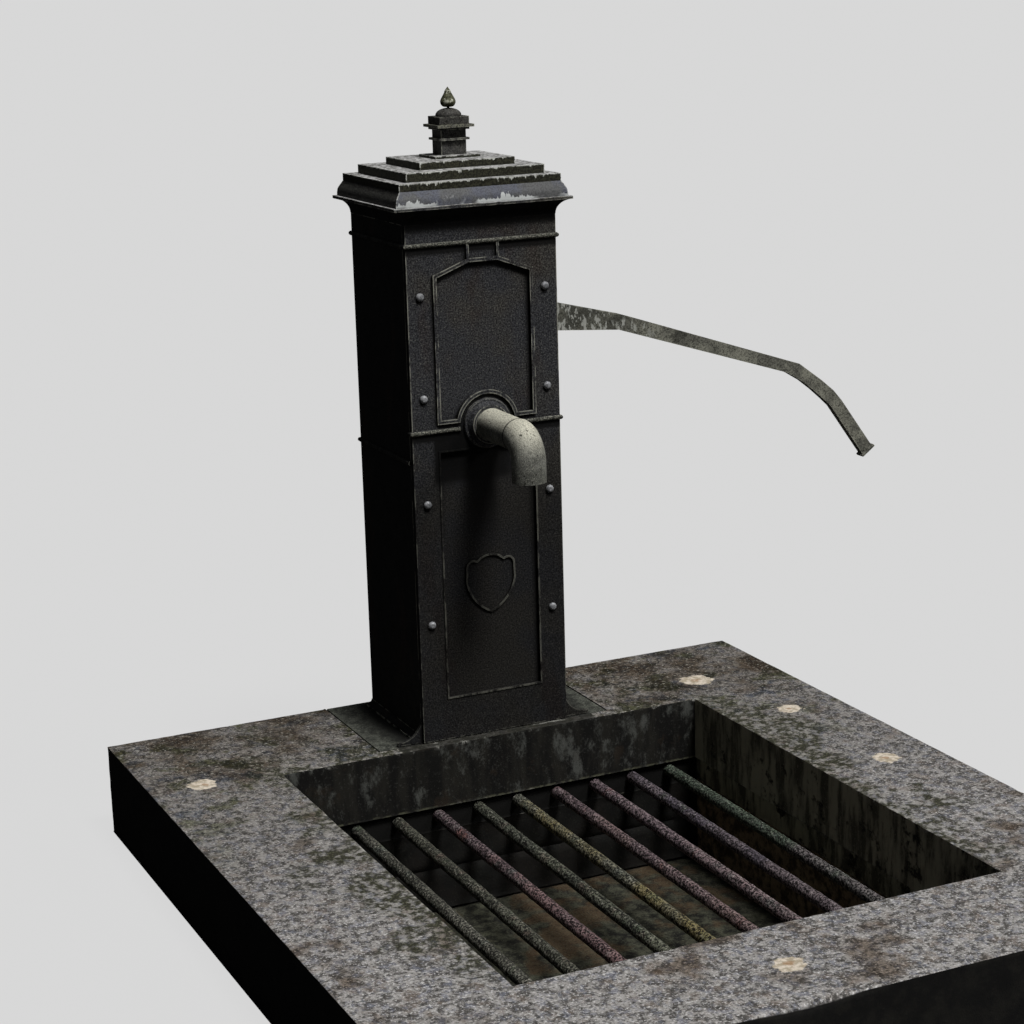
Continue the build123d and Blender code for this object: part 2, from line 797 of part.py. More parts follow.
with BuildPart() as lever:
    with BuildSketch(lever_mid) as outer_arm:
        with BuildLine():
            Polyline(
                (pivot_x, pivot_height + hub_radius),
                *lever_top_edge,
                *lever_tip,
                *lever_bottom_edge,
                (pivot_x, pivot_height - hub_radius),
                close=True,
            )
        make_face()
        with Locations((pivot_x, pivot_height)):
            Circle(hub_radius)
    extrude(amount=lever_thickness / 2, both=True)
    with BuildSketch(arm_plane) as inner_arm:
        with BuildLine():
            Polyline(
                (0, hub_radius - hub_inset),
                (arm_taper_end, arm_half_height),
                (arm_reach, arm_half_height),
                (arm_reach, -arm_half_height),
                (arm_taper_end, -arm_half_height),
                (0, hub_inset - hub_radius),
                close=True,
            )
        make_face()
        fillet(inner_arm.vertices().group_by(Axis.X)[0], arm_end_round)
    extrude(amount=lever_thickness / 2, both=True)
    with BuildSketch(arm_plane):
        with Locations((slot_centre, 0)):
            SlotCenterToCenter(slot_travel, 2 * (crosshead_pin_radius + slot_clearance))
        Circle(bush_radius + fit)
    extrude(amount=lever_thickness / 2, both=True, mode=Mode.SUBTRACT)
save(lever.part, "lever")

end_cap_size = (35.0, 23.0)
end_cap_thickness = 5.0
end_cap_chamfer = 0.6
tip_middle = (
    (lever_tip[0][0] + lever_tip[1][0]) / 2,
    0,
    slab_top + (lever_tip[0][1] + lever_tip[1][1]) / 2,
)
tip_across = (lever_tip[0][0] - lever_tip[1][0], 0, lever_tip[0][1] - lever_tip[1][1])
tip_direction = (tip_across[2], 0, -tip_across[0])
with BuildPart() as lever_end_cap:
    with BuildSketch(Plane(origin=tip_middle, x_dir=tip_across, z_dir=tip_direction)):
        Rectangle(*end_cap_size)
    extrude(amount=end_cap_thickness)
    chamfer(lever_end_cap.edges(), end_cap_chamfer)
save(lever_end_cap.part, "lever_end_cap")

with BuildPart() as lever_bush:
    with BuildSketch(arm_plane):
        Circle(bush_radius)
        Circle(fulcrum_pin_radius + running_clearance, mode=Mode.SUBTRACT)
    extrude(amount=lever_thickness / 2, both=True)
save(lever_bush.part, "lever_bush")

# ------------------------------------------------------------ fulcrum
bracket_plate = 8.0
bracket_width = 90.0
bracket_height = 150.0
cheek_inner = slot_width / 2
cheek_root = 2.0
cheek_thickness = 10.0
cheek_half_height = 26.0
cheek_round = 18.0
bracket_face_x = half_width - wall

with BuildPart() as fulcrum_bracket:
    with BuildSketch(Plane(origin=(bracket_face_x, 0, slab_top), x_dir=(0, 1, 0), z_dir=(1, 0, 0))):
        with Locations((0, slot_mid)):
            Rectangle(bracket_width, bracket_height)
    extrude(amount=-bracket_plate)
    for side in (-1, 1):
        with BuildSketch(face_plane(side * (cheek_inner + cheek_thickness / 2))):
            with BuildLine():
                Polyline(
                    (bracket_face_x - cheek_root, pivot_height + cheek_half_height),
                    (pivot_x, pivot_height + cheek_round),
                    (pivot_x, pivot_height - cheek_round),
                    (bracket_face_x - cheek_root, pivot_height - cheek_half_height),
                    close=True,
                )
            make_face()
            with Locations((pivot_x, pivot_height)):
                Circle(cheek_round)
        extrude(amount=cheek_thickness / 2, both=True)
    with BuildSketch(face_plane(0)):
        with Locations((pivot_x, pivot_height)):
            Circle(fulcrum_pin_radius + fit)
    extrude(amount=bracket_width, both=True, mode=Mode.SUBTRACT)
    with BuildSketch(Plane(origin=(bracket_face_x, 0, slab_top), x_dir=(0, 1, 0), z_dir=(1, 0, 0))):
        with Locations((0, slot_mid)):
            Rectangle(slot_width, slot_high - slot_low)
        with Locations(*bracket_bolt_places):
            Circle(bracket_bolt_radius + fit)
    extrude(amount=-bracket_plate, mode=Mode.SUBTRACT)
save(fulcrum_bracket.part, "fulcrum_bracket")

escutcheon_thickness = 3.0
with BuildPart() as slot_escutcheon:
    with BuildSketch(right_face):
        with Locations((0, slot_mid)):
            Rectangle(bracket_width, bracket_height)
            Rectangle(slot_width, slot_high - slot_low, mode=Mode.SUBTRACT)
        with Locations(*bracket_bolt_places):
            Circle(bracket_bolt_radius + fit, mode=Mode.SUBTRACT)
    extrude(amount=escutcheon_thickness)
save(slot_escutcheon.part, "slot_escutcheon")

bracket_head_radius = 8.5
bracket_head_height = 6.0
bracket_head_round = 4.5
bracket_nut_across = 17.0
bolt_end = 3.0
bracket_nut_height = 8.0
with BuildPart() as bracket_bolts:
    outside = right_face.offset(escutcheon_thickness)
    inside = Plane(origin=(bracket_face_x - bracket_plate, 0, slab_top), x_dir=(0, 1, 0), z_dir=(-1, 0, 0))
    with BuildSketch(outside):
        with Locations(*bracket_bolt_places):
            Circle(bracket_head_radius)
    extrude(amount=bracket_head_height)
    fillet(bracket_bolts.edges().group_by(Axis.X)[-1], bracket_head_round)
    with BuildSketch(outside):
        with Locations(*bracket_bolt_places):
            Circle(bracket_bolt_radius)
    extrude(amount=-(escutcheon_thickness + wall + bracket_plate + bracket_nut_height + bolt_end))
    with BuildSketch(inside):
        with Locations(*[(y, -z) for y, z in bracket_bolt_places]):
            RegularPolygon(bracket_nut_across / 2, 6, major_radius=False)
    extrude(amount=bracket_nut_height)
save(bracket_bolts.part, "bracket_bolts")

washer_thickness = 2.5
washer_radius = 17.0
pin_overhang = 8.0
pin_chamfer = 1.0
hole_overrun = 1.0
fulcrum_pin_half = cheek_inner + cheek_thickness + washer_thickness + pin_overhang
split_pin_radius = 1.6
split_pin_half = 15.0
split_pin_inset = 4.5
fulcrum_split_y = fulcrum_pin_half - split_pin_inset
with BuildPart() as fulcrum_pin:
    with BuildSketch(face_plane(0)):
        with Locations((pivot_x, pivot_height)):
            Circle(fulcrum_pin_radius)
    extrude(amount=fulcrum_pin_half, both=True)
    chamfer(fulcrum_pin.edges().filter_by(GeomType.CIRCLE), pin_chamfer)
    with BuildSketch(level(pivot_height)):
        with Locations((pivot_x, fulcrum_split_y), (pivot_x, -fulcrum_split_y)):
            Circle(split_pin_radius + fit)
    extrude(amount=fulcrum_pin_radius + hole_overrun, both=True, mode=Mode.SUBTRACT)
save(fulcrum_pin.part, "fulcrum_pin")

with BuildPart() as fulcrum_washers:
    for side in (-1, 1):
        with BuildSketch(face_plane(side * (cheek_inner + cheek_thickness + washer_thickness / 2))):
            with Locations((pivot_x, pivot_height)):
                Circle(washer_radius)
                Circle(fulcrum_pin_radius + fit, mode=Mode.SUBTRACT)
        extrude(amount=washer_thickness / 2, both=True)
save(fulcrum_washers.part, "fulcrum_washers")

with BuildPart() as fulcrum_split_pins:
    with BuildSketch(level(pivot_height)):
        with Locations((pivot_x, fulcrum_split_y), (pivot_x, -fulcrum_split_y)):
            Circle(split_pin_radius)
    extrude(amount=split_pin_half, both=True)
save(fulcrum_split_pins.part, "fulcrum_split_pins")

# ------------------------------------------------------------ crosshead and pump rod
crosshead_height = crosshead_z - slab_top
crosshead_half_x = 16.0
crosshead_cheek = 8.0
crosshead_side_gap = 1.0
crosshead_gap = lever_thickness / 2 + crosshead_side_gap
crosshead_outer = crosshead_gap + crosshead_cheek
crosshead_base_low = 46.0
crosshead_base_high = 31.0
crosshead_top = 18.0
crosshead_pin_half = crosshead_outer + pin_overhang
crosshead_top_round = 15.0

with BuildPart() as crosshead:
    with BuildSketch(level(crosshead_height - crosshead_base_low)):
        Rectangle(2 * crosshead_half_x, 2 * crosshead_outer)
    extrude(amount=crosshead_base_low + crosshead_top)
    fillet(crosshead.edges().filter_by(Axis.Y).group_by(Axis.Z)[-1], crosshead_top_round)
    with BuildSketch(level(crosshead_height - crosshead_base_high)):
        Rectangle(2 * crosshead_half_x, 2 * crosshead_gap)
    extrude(amount=crosshead_base_high + crosshead_top, mode=Mode.SUBTRACT)
    with BuildSketch(face_plane(0)):
        with Locations((0, crosshead_height)):
            Circle(crosshead_pin_radius + fit)
    extrude(amount=crosshead_outer, both=True, mode=Mode.SUBTRACT)
    with BuildSketch(level(crosshead_height - crosshead_base_low)):
        Circle(rod_radius + fit)
    extrude(amount=crosshead_base_low - crosshead_base_high, mode=Mode.SUBTRACT)
save(crosshead.part, "crosshead")

crosshead_split_y = crosshead_pin_half - split_pin_inset
split_pin_end = 4.0
with BuildPart() as crosshead_pin:
    with BuildSketch(face_plane(0)):
        with Locations((0, crosshead_height)):
            Circle(crosshead_pin_radius)
    extrude(amount=crosshead_pin_half, both=True)
    chamfer(crosshead_pin.edges().filter_by(GeomType.CIRCLE), pin_chamfer)
    with BuildSketch(level(crosshead_height)):
        with Locations((0, crosshead_split_y), (0, -crosshead_split_y)):
            Circle(split_pin_radius + fit)
    extrude(amount=crosshead_pin_radius + hole_overrun, both=True, mode=Mode.SUBTRACT)
save(crosshead_pin.part, "crosshead_pin")

with BuildPart() as crosshead_split_pins:
    with BuildSketch(level(crosshead_height)):
        with Locations((0, crosshead_split_y), (0, -crosshead_split_y)):
            Circle(split_pin_radius)
    extrude(amount=crosshead_pin_radius + split_pin_end, both=True)
save(crosshead_split_pins.part, "crosshead_split_pins")

rod_below_piston = 28.0
rod_low = piston_height - rod_below_piston
rod_high = crosshead_height - crosshead_base_high
with BuildPart() as pump_rod:
    with BuildSketch(level(rod_low)):
        Circle(rod_radius)
    extrude(amount=rod_high - rod_low)
    chamfer(pump_rod.edges().group_by(Axis.Z)[0], pin_chamfer)
save(pump_rod.part, "pump_rod")

# ------------------------------------------------------------ piston
piston_body_radius = 46.0
piston_plate = 14.0
piston_hub_radius = 17.0
port_radius = 8.5
port_circle = 27.5
port_count = 4
cup_inner_radius = 37.0
cup_thickness = 4.0
cup_top_gap = 2.0
valve_chamfer = 1.5
follower_radius = 44.0
follower_thickness = 6.0
valve_plate = 6.0
valve_plate_radius = 40.0
stop_radius = 24.0
stop_thickness = 6.0
cup_radius = barrel_bore_radius - running_clearance
valve_rest = piston_height + piston_plate
stop_low = valve_rest + valve_plate + piston_valve_lift + valve_stop_gap

with BuildPart() as piston_body:
    with BuildSketch(level(piston_height)):
        Circle(piston_body_radius)
    extrude(amount=piston_plate)
    with BuildSketch(level(piston_height)):
        Circle(piston_hub_radius)
    extrude(amount=stop_low - piston_height)
    with BuildSketch(level(piston_height)):
        Circle(rod_radius + fit)
    extrude(amount=stop_low - piston_height, mode=Mode.SUBTRACT)
    with BuildSketch(level(piston_height)):
        with PolarLocations(port_circle, port_count, start_angle=45):
            Circle(port_radius)
    extrude(amount=piston_plate, mode=Mode.SUBTRACT)
save(piston_body.part, "piston_body")

cup_low = piston_height - cup_thickness
with BuildPart() as cup_leather:
    with BuildSketch(level(cup_low)):
        Circle(cup_radius)
    extrude(amount=cup_thickness + piston_plate - cup_top_gap)
    with BuildSketch(level(cup_low)):
        Circle(cup_inner_radius)
    extrude(amount=cup_thickness, mode=Mode.SUBTRACT)
    with BuildSketch(level(piston_height)):
        Circle(piston_body_radius + fit)
    extrude(amount=piston_plate, mode=Mode.SUBTRACT)
save(cup_leather.part, "cup_leather")

follower_low = cup_low - follower_thickness
with BuildPart() as cup_follower:
    with BuildSketch(level(follower_low)):
        Circle(follower_radius)
        Circle(rod_radius + fit, mode=Mode.SUBTRACT)
        with PolarLocations(port_circle, port_count, start_angle=45):
            Circle(port_radius, mode=Mode.SUBTRACT)
    extrude(amount=follower_thickness)
    with BuildSketch(level(cup_low)):
        Circle(piston_hub_radius)
        Circle(rod_radius + fit, mode=Mode.SUBTRACT)
    extrude(amount=cup_thickness)
save(cup_follower.part, "cup_follower")

piston_nut_height = 12.0
piston_nut_across = 28.0
with BuildPart() as piston_nut:
    with BuildSketch(level(follower_low - piston_nut_height)):
        RegularPolygon(piston_nut_across / 2, 6, major_radius=False)
        Circle(rod_radius + fit, mode=Mode.SUBTRACT)
    extrude(amount=piston_nut_height)
save(piston_nut.part, "piston_nut")

with BuildPart() as piston_valve:
    with BuildSketch(level(valve_rest)):
        Circle(valve_plate_radius)
        Circle(piston_hub_radius + running_clearance, mode=Mode.SUBTRACT)
    extrude(amount=valve_plate)
    chamfer(piston_valve.edges().group_by(Axis.Z)[-1].sort_by(SortBy.RADIUS)[-1], valve_chamfer)
save(piston_valve.part, "piston_valve")

with BuildPart() as valve_stop:
    with BuildSketch(level(stop_low)):
        Circle(stop_radius)
        Circle(rod_radius + fit, mode=Mode.SUBTRACT)
    extrude(amount=stop_thickness)
save(valve_stop.part, "valve_stop")

# ------------------------------------------------------------ foot valve and suction pipe
suction_flange = 14.0
gasket_thickness = 2.0
seat_plate = 10.0
flange_radius = 84.0
seat_low = suction_flange + gasket_thickness
barrel_low = seat_low + seat_plate
foot_disc_radius = 36.0
foot_disc_thickness = 7.0
foot_stem_radius = 4.0
spider_hub_radius = 9.0
spider_arm_width = 6.0
spider_arm_root = 2.0

with BuildPart() as suction_pipe:
    with BuildSketch(Plane.XY):
        Circle(thread_end_radius)
    extrude(amount=thread_end_length)
    with BuildSketch(Plane.XY.offset(thread_end_length)):
        Circle(suction_radius)
    extrude(amount=slab_top - thread_end_length)
    with BuildSketch(level(0)):
        Circle(flange_radius)
        with PolarLocations(flange_stud_circle, flange_stud_count, start_angle=30):
            Circle(flange_stud_radius + fit, mode=Mode.SUBTRACT)
    extrude(amount=suction_flange)
    with BuildSketch(Plane.XY):
        Circle(suction_bore_radius)
    extrude(amount=slab_top + suction_flange, mode=Mode.SUBTRACT)
save(suction_pipe.part, "suction_pipe")

with BuildPart() as foot_gasket:
    with BuildSketch(level(suction_flange)):
        Circle(flange_radius)
        Circle(suction_bore_radius, mode=Mode.SUBTRACT)
        with PolarLocations(flange_stud_circle, flange_stud_count, start_angle=30):
            Circle(flange_stud_radius + fit, mode=Mode.SUBTRACT)
    extrude(amount=gasket_thickness)
save(foot_gasket.part, "foot_gasket")

with BuildPart() as foot_valve_seat:
    with BuildSketch(level(seat_low)):
        Circle(flange_radius)
        Circle(suction_bore_radius, mode=Mode.SUBTRACT)
        with PolarLocations(flange_stud_circle, flange_stud_count, start_angle=30):
            Circle(flange_stud_radius + fit, mode=Mode.SUBTRACT)
    extrude(amount=seat_plate)
    with BuildSketch(level(seat_low)):
        for turn in (0, 60, 120):
            with Locations(Location((0, 0, 0), (0, 0, turn))):
                Rectangle(2 * (suction_bore_radius + spider_arm_root), spider_arm_width)
        Circle(spider_hub_radius)
        Circle(foot_stem_radius + running_clearance, mode=Mode.SUBTRACT)
    extrude(amount=seat_plate / 2)
save(foot_valve_seat.part, "foot_valve_seat")

foot_collar = 4.0
foot_collar_radius = 7.5
with BuildPart() as foot_valve:
    with BuildSketch(level(barrel_low)):
        Circle(foot_disc_radius)
    extrude(amount=foot_disc_thickness)
    chamfer(foot_valve.edges().group_by(Axis.Z)[-1], valve_chamfer)
    with BuildSketch(level(seat_low - foot_valve_lift - foot_collar)):
        Circle(foot_stem_radius)
    extrude(amount=barrel_low - seat_low + foot_valve_lift + foot_collar)
    with BuildSketch(level(seat_low - foot_valve_lift - foot_collar)):
        Circle(foot_collar_radius)
    extrude(amount=foot_collar)
save(foot_valve.part, "foot_valve")

# ------------------------------------------------------------ pump barrel
barrel_radius = barrel_bore_radius + barrel_wall
barrel_flange = 14.0
head_flange = 12.0
head_radius = 81.0
head_bolt_radius = 5.0
head_bolt_circle = 69.0
head_bolt_count = 6
branch_radius = 37.0
branch_end_y = -108.0

with BuildPart() as barrel:
    with BuildSketch(level(barrel_low)):
        Circle(barrel_radius)
    extrude(amount=barrel_top - barrel_low)
    with BuildSketch(level(barrel_low)):
        Circle(flange_radius)
    extrude(amount=barrel_flange)
    with BuildSketch(level(barrel_top - head_flange)):
        Circle(head_radius)
    extrude(amount=head_flange)
    with BuildSketch(face_plane(0)):
        with Locations((0, spout_height)):
            Circle(branch_radius)
    extrude(amount=-branch_end_y)
    with BuildSketch(level(barrel_low)):
        Circle(barrel_bore_radius)
    extrude(amount=barrel_top - barrel_low, mode=Mode.SUBTRACT)
    with BuildSketch(face_plane(0)):
        with Locations((0, spout_height)):
            Circle(spout_bore_radius)
    extrude(amount=-branch_end_y, mode=Mode.SUBTRACT)
    with BuildSketch(face_plane(spout_tail_y)):
        with Locations((0, spout_height)):
            Circle(spout_radius + fit)
    extrude(amount=spout_tail_y - branch_end_y, mode=Mode.SUBTRACT)
    with BuildSketch(level(barrel_low)):
        with PolarLocations(flange_stud_circle, flange_stud_count, start_angle=30):
            Circle(flange_stud_radius + fit)
    extrude(amount=barrel_flange, mode=Mode.SUBTRACT)
    with BuildSketch(level(barrel_top - head_flange)):
        with PolarLocations(head_bolt_circle, head_bolt_count):
            Circle(head_bolt_radius + fit)
    extrude(amount=head_flange, mode=Mode.SUBTRACT)
save(barrel.part, "barrel")

stud_nut_height = 9.0
stud_nut_across = 18.0
stud_end = 3.5
stud_low_gap = 0.5
stud_length = base_plate_thickness - stud_low_gap + barrel_low + barrel_flange + stud_nut_height + stud_end
with BuildPart() as flange_studs:
    with BuildSketch(level(stud_low_gap - base_plate_thickness)):
        with PolarLocations(flange_stud_circle, flange_stud_count, start_angle=30):
            Circle(flange_stud_radius)
    extrude(amount=stud_length)
    with BuildSketch(level(barrel_low + barrel_flange)):
        with PolarLocations(flange_stud_circle, flange_stud_count, start_angle=30):
            RegularPolygon(stud_nut_across / 2, 6, major_radius=False)
    extrude(amount=stud_nut_height)
save(flange_studs.part, "flange_studs")

# ------------------------------------------------------------ stuffing box
head_plate = 10.0
packing_radius = 14.0
packing_step = 8.0
packing_low = barrel_top + gasket_thickness + packing_step
hub_top = 674.0
hub_length = 66.0
hub_width = 34.0
gland_stud_x = 24.0
gland_stud_radius = 3.5
gland_flange = 7.0
gland_low = 666.0
gland_flange_low = 676.0
head_low = barrel_top + gasket_thickness

with BuildPart() as head_gasket:
    with BuildSketch(level(barrel_top)):
        Circle(head_radius)
        Circle(barrel_bore_radius, mode=Mode.SUBTRACT)
        with PolarLocations(head_bolt_circle, head_bolt_count):
            Circle(head_bolt_radius + fit, mode=Mode.SUBTRACT)
    extrude(amount=gasket_thickness)
save(head_gasket.part, "head_gasket")

with BuildPart() as stuffing_box:
    with BuildSketch(level(head_low)):
        Circle(head_radius)
        with PolarLocations(head_bolt_circle, head_bolt_count):
            Circle(head_bolt_radius + fit, mode=Mode.SUBTRACT)
    extrude(amount=head_plate)
    with BuildSketch(level(head_low)):
        SlotOverall(hub_length, hub_width)
    extrude(amount=hub_top - head_low)
    with BuildSketch(level(head_low)):
        Circle(rod_radius + running_clearance)
    extrude(amount=hub_top - head_low, mode=Mode.SUBTRACT)
    with BuildSketch(level(packing_low)):
        Circle(packing_radius)
    extrude(amount=hub_top - packing_low, mode=Mode.SUBTRACT)
    with BuildSketch(level(packing_low)):
        with Locations((-gland_stud_x, 0), (gland_stud_x, 0)):
            Circle(gland_stud_radius + fit)
    extrude(amount=hub_top - packing_low, mode=Mode.SUBTRACT)
save(stuffing_box.part, "stuffing_box")

with BuildPart() as gland_packing:
    with BuildSketch(level(packing_low)):
        Circle(packing_radius - fit)
        Circle(rod_radius + running_clearance, mode=Mode.SUBTRACT)
    extrude(amount=gland_low - packing_low)
save(gland_packing.part, "gland_packing")

with BuildPart() as gland:
    with BuildSketch(level(gland_low)):
        Circle(packing_radius - fit)
    extrude(amount=gland_flange_low - gland_low)
    with BuildSketch(level(gland_flange_low)):
        SlotOverall(hub_length, hub_width)
        with Locations((-gland_stud_x, 0), (gland_stud_x, 0)):
            Circle(gland_stud_radius + fit, mode=Mode.SUBTRACT)
    extrude(amount=gland_flange)
    with BuildSketch(level(gland_low)):
        Circle(rod_radius + running_clearance)
    extrude(amount=gland_flange_low + gland_flange - gland_low, mode=Mode.SUBTRACT)
save(gland.part, "gland")

gland_nut_height = 5.0
gland_nut_across = 12.0
gland_stud_gap = 0.5
with BuildPart() as gland_studs:
    with BuildSketch(level(packing_low + gland_stud_gap)):
        with Locations((-gland_stud_x, 0), (gland_stud_x, 0)):
            Circle(gland_stud_radius)
    extrude(amount=gland_flange_low + gland_flange + gland_nut_height - packing_low)
    with BuildSketch(level(gland_flange_low + gland_flange)):
        with Locations((-gland_stud_x, 0), (gland_stud_x, 0)):
            RegularPolygon(gland_nut_across / 2, 6, major_radius=False)
    extrude(amount=gland_nut_height)
save(gland_studs.part, "gland_studs")

head_nut_height = 8.0
head_nut_across = 16.0
head_height = 6.0
with BuildPart() as head_bolts:
    with BuildSketch(level(barrel_top - head_flange - head_nut_height)):
        with PolarLocations(head_bolt_circle, head_bolt_count):
            RegularPolygon(head_nut_across / 2, 6, major_radius=False)
    extrude(amount=head_nut_height)
    with BuildSketch(level(barrel_top - head_flange)):
        with PolarLocations(head_bolt_circle, head_bolt_count):
            Circle(head_bolt_radius)
    extrude(amount=head_flange + gasket_thickness + head_plate)
    with BuildSketch(level(head_low + head_plate)):
        with PolarLocations(head_bolt_circle, head_bolt_count):
            RegularPolygon(head_nut_across / 2, 6, major_radius=False)
    extrude(amount=head_height)
save(head_bolts.part, "head_bolts")
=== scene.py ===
import bpy
import math
import numpy as np
from mathutils import Matrix, Vector


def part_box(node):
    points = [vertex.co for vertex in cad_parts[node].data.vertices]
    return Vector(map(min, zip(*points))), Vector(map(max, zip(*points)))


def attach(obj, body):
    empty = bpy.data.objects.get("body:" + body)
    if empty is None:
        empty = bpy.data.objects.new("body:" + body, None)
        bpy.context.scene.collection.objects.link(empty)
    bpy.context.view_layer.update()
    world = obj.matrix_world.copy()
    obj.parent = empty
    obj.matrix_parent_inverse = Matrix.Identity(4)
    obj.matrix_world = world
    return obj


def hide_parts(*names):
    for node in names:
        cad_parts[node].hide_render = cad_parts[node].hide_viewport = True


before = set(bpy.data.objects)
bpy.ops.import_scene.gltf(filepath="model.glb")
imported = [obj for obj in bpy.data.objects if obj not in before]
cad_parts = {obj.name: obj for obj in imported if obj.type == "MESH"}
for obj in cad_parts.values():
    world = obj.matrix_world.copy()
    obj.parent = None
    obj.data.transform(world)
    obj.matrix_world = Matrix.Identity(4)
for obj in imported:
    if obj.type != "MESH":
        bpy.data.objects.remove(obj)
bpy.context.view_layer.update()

# Hand pump in a cast-iron pillar on a stone slab with a grated drain pit.
# +X is the lever's side, -Y the spout's side, +Z up. Lengths are in metres.
MM = 0.001


# ------------------------------------------------------------ places taken from the frame
slab_low, slab_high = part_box("stone_slab")
cover_low, cover_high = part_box("front_cover")
casing_low, casing_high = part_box("column_casing")
plate_low, plate_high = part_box("base_plate")
walls_low, walls_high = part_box("pit_walls")
floor_low, floor_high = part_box("pit_floor")
bars_low, bars_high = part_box("grate_bars")
drain_low, drain_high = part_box("drain_pipe")
spout_low, spout_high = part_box("spout_pipe")
cap_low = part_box("cap")[0]
pedestal_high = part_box("finial_pedestal")[1]
drop_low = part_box("finial_drop")[0]
lever_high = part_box("lever")[1]
slab_top = slab_high.z

# ------------------------------------------------------------ sizes the frame doesn't give
touch = 1 * MM  # points nearer than this to a face lie on it
# the slab's opening is set back below its upper course, and the base plate sits in a shallow seat
course_z = slab_top - 122 * MM
set_back = 8 * MM
seat_gap = 3 * MM
stone_step = 9 * MM
floor_step = 10 * MM
stone_course = 80 * MM
stone_length = 230 * MM
joint_depth = 5 * MM
drain_wall = 6 * MM
bar_count = 10
bar_radius = (bars_high.z - bars_low.z) / 2
bar_pitch = (bars_high.x - bars_low.x - 2 * bar_radius) / (bar_count - 1)
# two beads run across the front cover, at these shares of the casing's height
bead_shares = (0.61, 0.96)
# the cap's eave, the two ends of its slope and the tops of its steps
eave_top = cap_low.z + 27 * MM
slope_low = cap_low.z + 36 * MM
slope_high = cap_low.z + 59.8 * MM
step_tops = [cap_low.z + rise * MM for rise in (73.3, 90.0, 103.6)]
# dried lime rings on the slab's top: place in X and Y, and radius
lime_spots = [
    (-0.583, -0.128, 0.027),
    (0.485, -0.051, 0.034),
    (0.554, -0.294, 0.026),
    (0.560, -0.613, 0.026),
    (-0.053, -1.264, 0.028),
]


def inner_box(node, height, clear=0.0):
    """Lowest and highest corner of the opening that a ring-shaped node has at one height.
    Points nearer than clear to the middle plane are passed over, so that small holes there don't count."""
    points = np.array([v.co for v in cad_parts[node].data.vertices])
    low, high = points.min(0), points.max(0)
    inside = np.abs(points[:, 2] - height) < touch
    for k in (0, 1):
        inside &= (points[:, k] > low[k] + touch) & (points[:, k] < high[k] - touch)
    inside &= np.abs(points[:, 0]) > clear
    return points[inside].min(0), points[inside].max(0)


# ------------------------------------------------------------ smooth random values for vertices
def random_field(points, scale, seed):
    """Smooth random values from -1 to 1, with features about 1/scale metres across."""
    at = points * scale
    cell = np.floor(at).astype(np.int64)
    part = at - cell
    part = part * part * (3 - 2 * part)
    total = np.zeros(len(points))
    for dx in (0, 1):
        for dy in (0, 1):
            for dz in (0, 1):
                # an integer hash of the cell corner gives its value
                mixed = (cell[:, 0] + dx) * 374761393 + (cell[:, 1] + dy) * 668265263
                mixed = mixed + (cell[:, 2] + dz) * 1442695041 + seed * 1274126177
                mixed = (mixed ^ (mixed >> 13)) * 1274126177
                value = ((mixed ^ (mixed >> 16)) & 0xFFFFFF) / 0x7FFFFF - 1
                weight = np.ones(len(points))
                for k, step in enumerate((dx, dy, dz)):
                    weight = weight * (part[:, k] if step else 1 - part[:, k])
                total += value * weight
    return total


def rough_field(points, scale, seed, octaves=3):
    """Random values with finer detail added at each octave, about -1 to 1."""
    total = np.zeros(len(points))
    for k in range(octaves):
        total += random_field(points, scale * 2**k, seed + k) / 2**k
    return total / 1.5


def smooth_step(value, low, high):
    """0 below low, 1 above high, with a smooth rise between."""
    t = np.clip((value - low) / (high - low), 0, 1)
    return t * t * (3 - 2 * t)


# ------------------------------------------------------------ meshes on a grid
def grid_lines(marks, step, beside=()):
    """Sorted lines through every mark, with close lines beside each one and none further apart than step."""
    lines = set()
    low, high = min(marks), max(marks)
    for mark in marks:
        for gap in (0, *beside, *(-b for b in beside)):
            if low - 1e-9 <= mark + gap <= high + 1e-9:
                lines.add(round(mark + gap, 6))
    lines = sorted(lines)
    filled = [lines[0]]
    for start, end in zip(lines, lines[1:]):
        count = max(1, math.ceil((end - start) / step - 1e-6))
        filled += [start + (end - start) * (k + 1) / count for k in range(count)]
    return np.array(filled)


def grid_solid(xs, ys, zs, solid):
    """Points and outward quads of the skin round the grid cells whose centres are solid."""
    middles = [(lines[1:] + lines[:-1]) / 2 for lines in (xs, ys, zs)]
    filled = np.pad(solid(*np.meshgrid(*middles, indexing="ij")), 1)
    quads = []
    for axis in range(3):
        near = [slice(None)] * 3
        far = [slice(None)] * 3
        near[axis], far[axis] = slice(None, -1), slice(1, None)
        change = filled[tuple(near)].astype(int) - filled[tuple(far)].astype(int)
        for sign in (1, -1):
            corner = np.argwhere(change == sign)
            corner[:, [k for k in range(3) if k != axis]] -= 1
            u, v = [(1, 2), (2, 0), (0, 1)][axis]
            steps = [(0, 0), (1, 0), (1, 1), (0, 1)]
            if sign == -1:
                steps = steps[::-1]
            quad = []
            for du, dv in steps:
                c = corner.copy()
                c[:, u] += du
                c[:, v] += dv
                quad.append((c[:, 0] * len(ys) + c[:, 1]) * len(zs) + c[:, 2])
            quads.append(np.stack(quad, 1))
    quads = np.concatenate(quads)
    used, quads = np.unique(quads, return_inverse=True)
    quads = quads.reshape(-1, 4)
    x, rest = np.divmod(used, len(ys) * len(zs))
    y, z = np.divmod(rest, len(zs))
    return np.stack([xs[x], ys[y], zs[z]], 1), quads


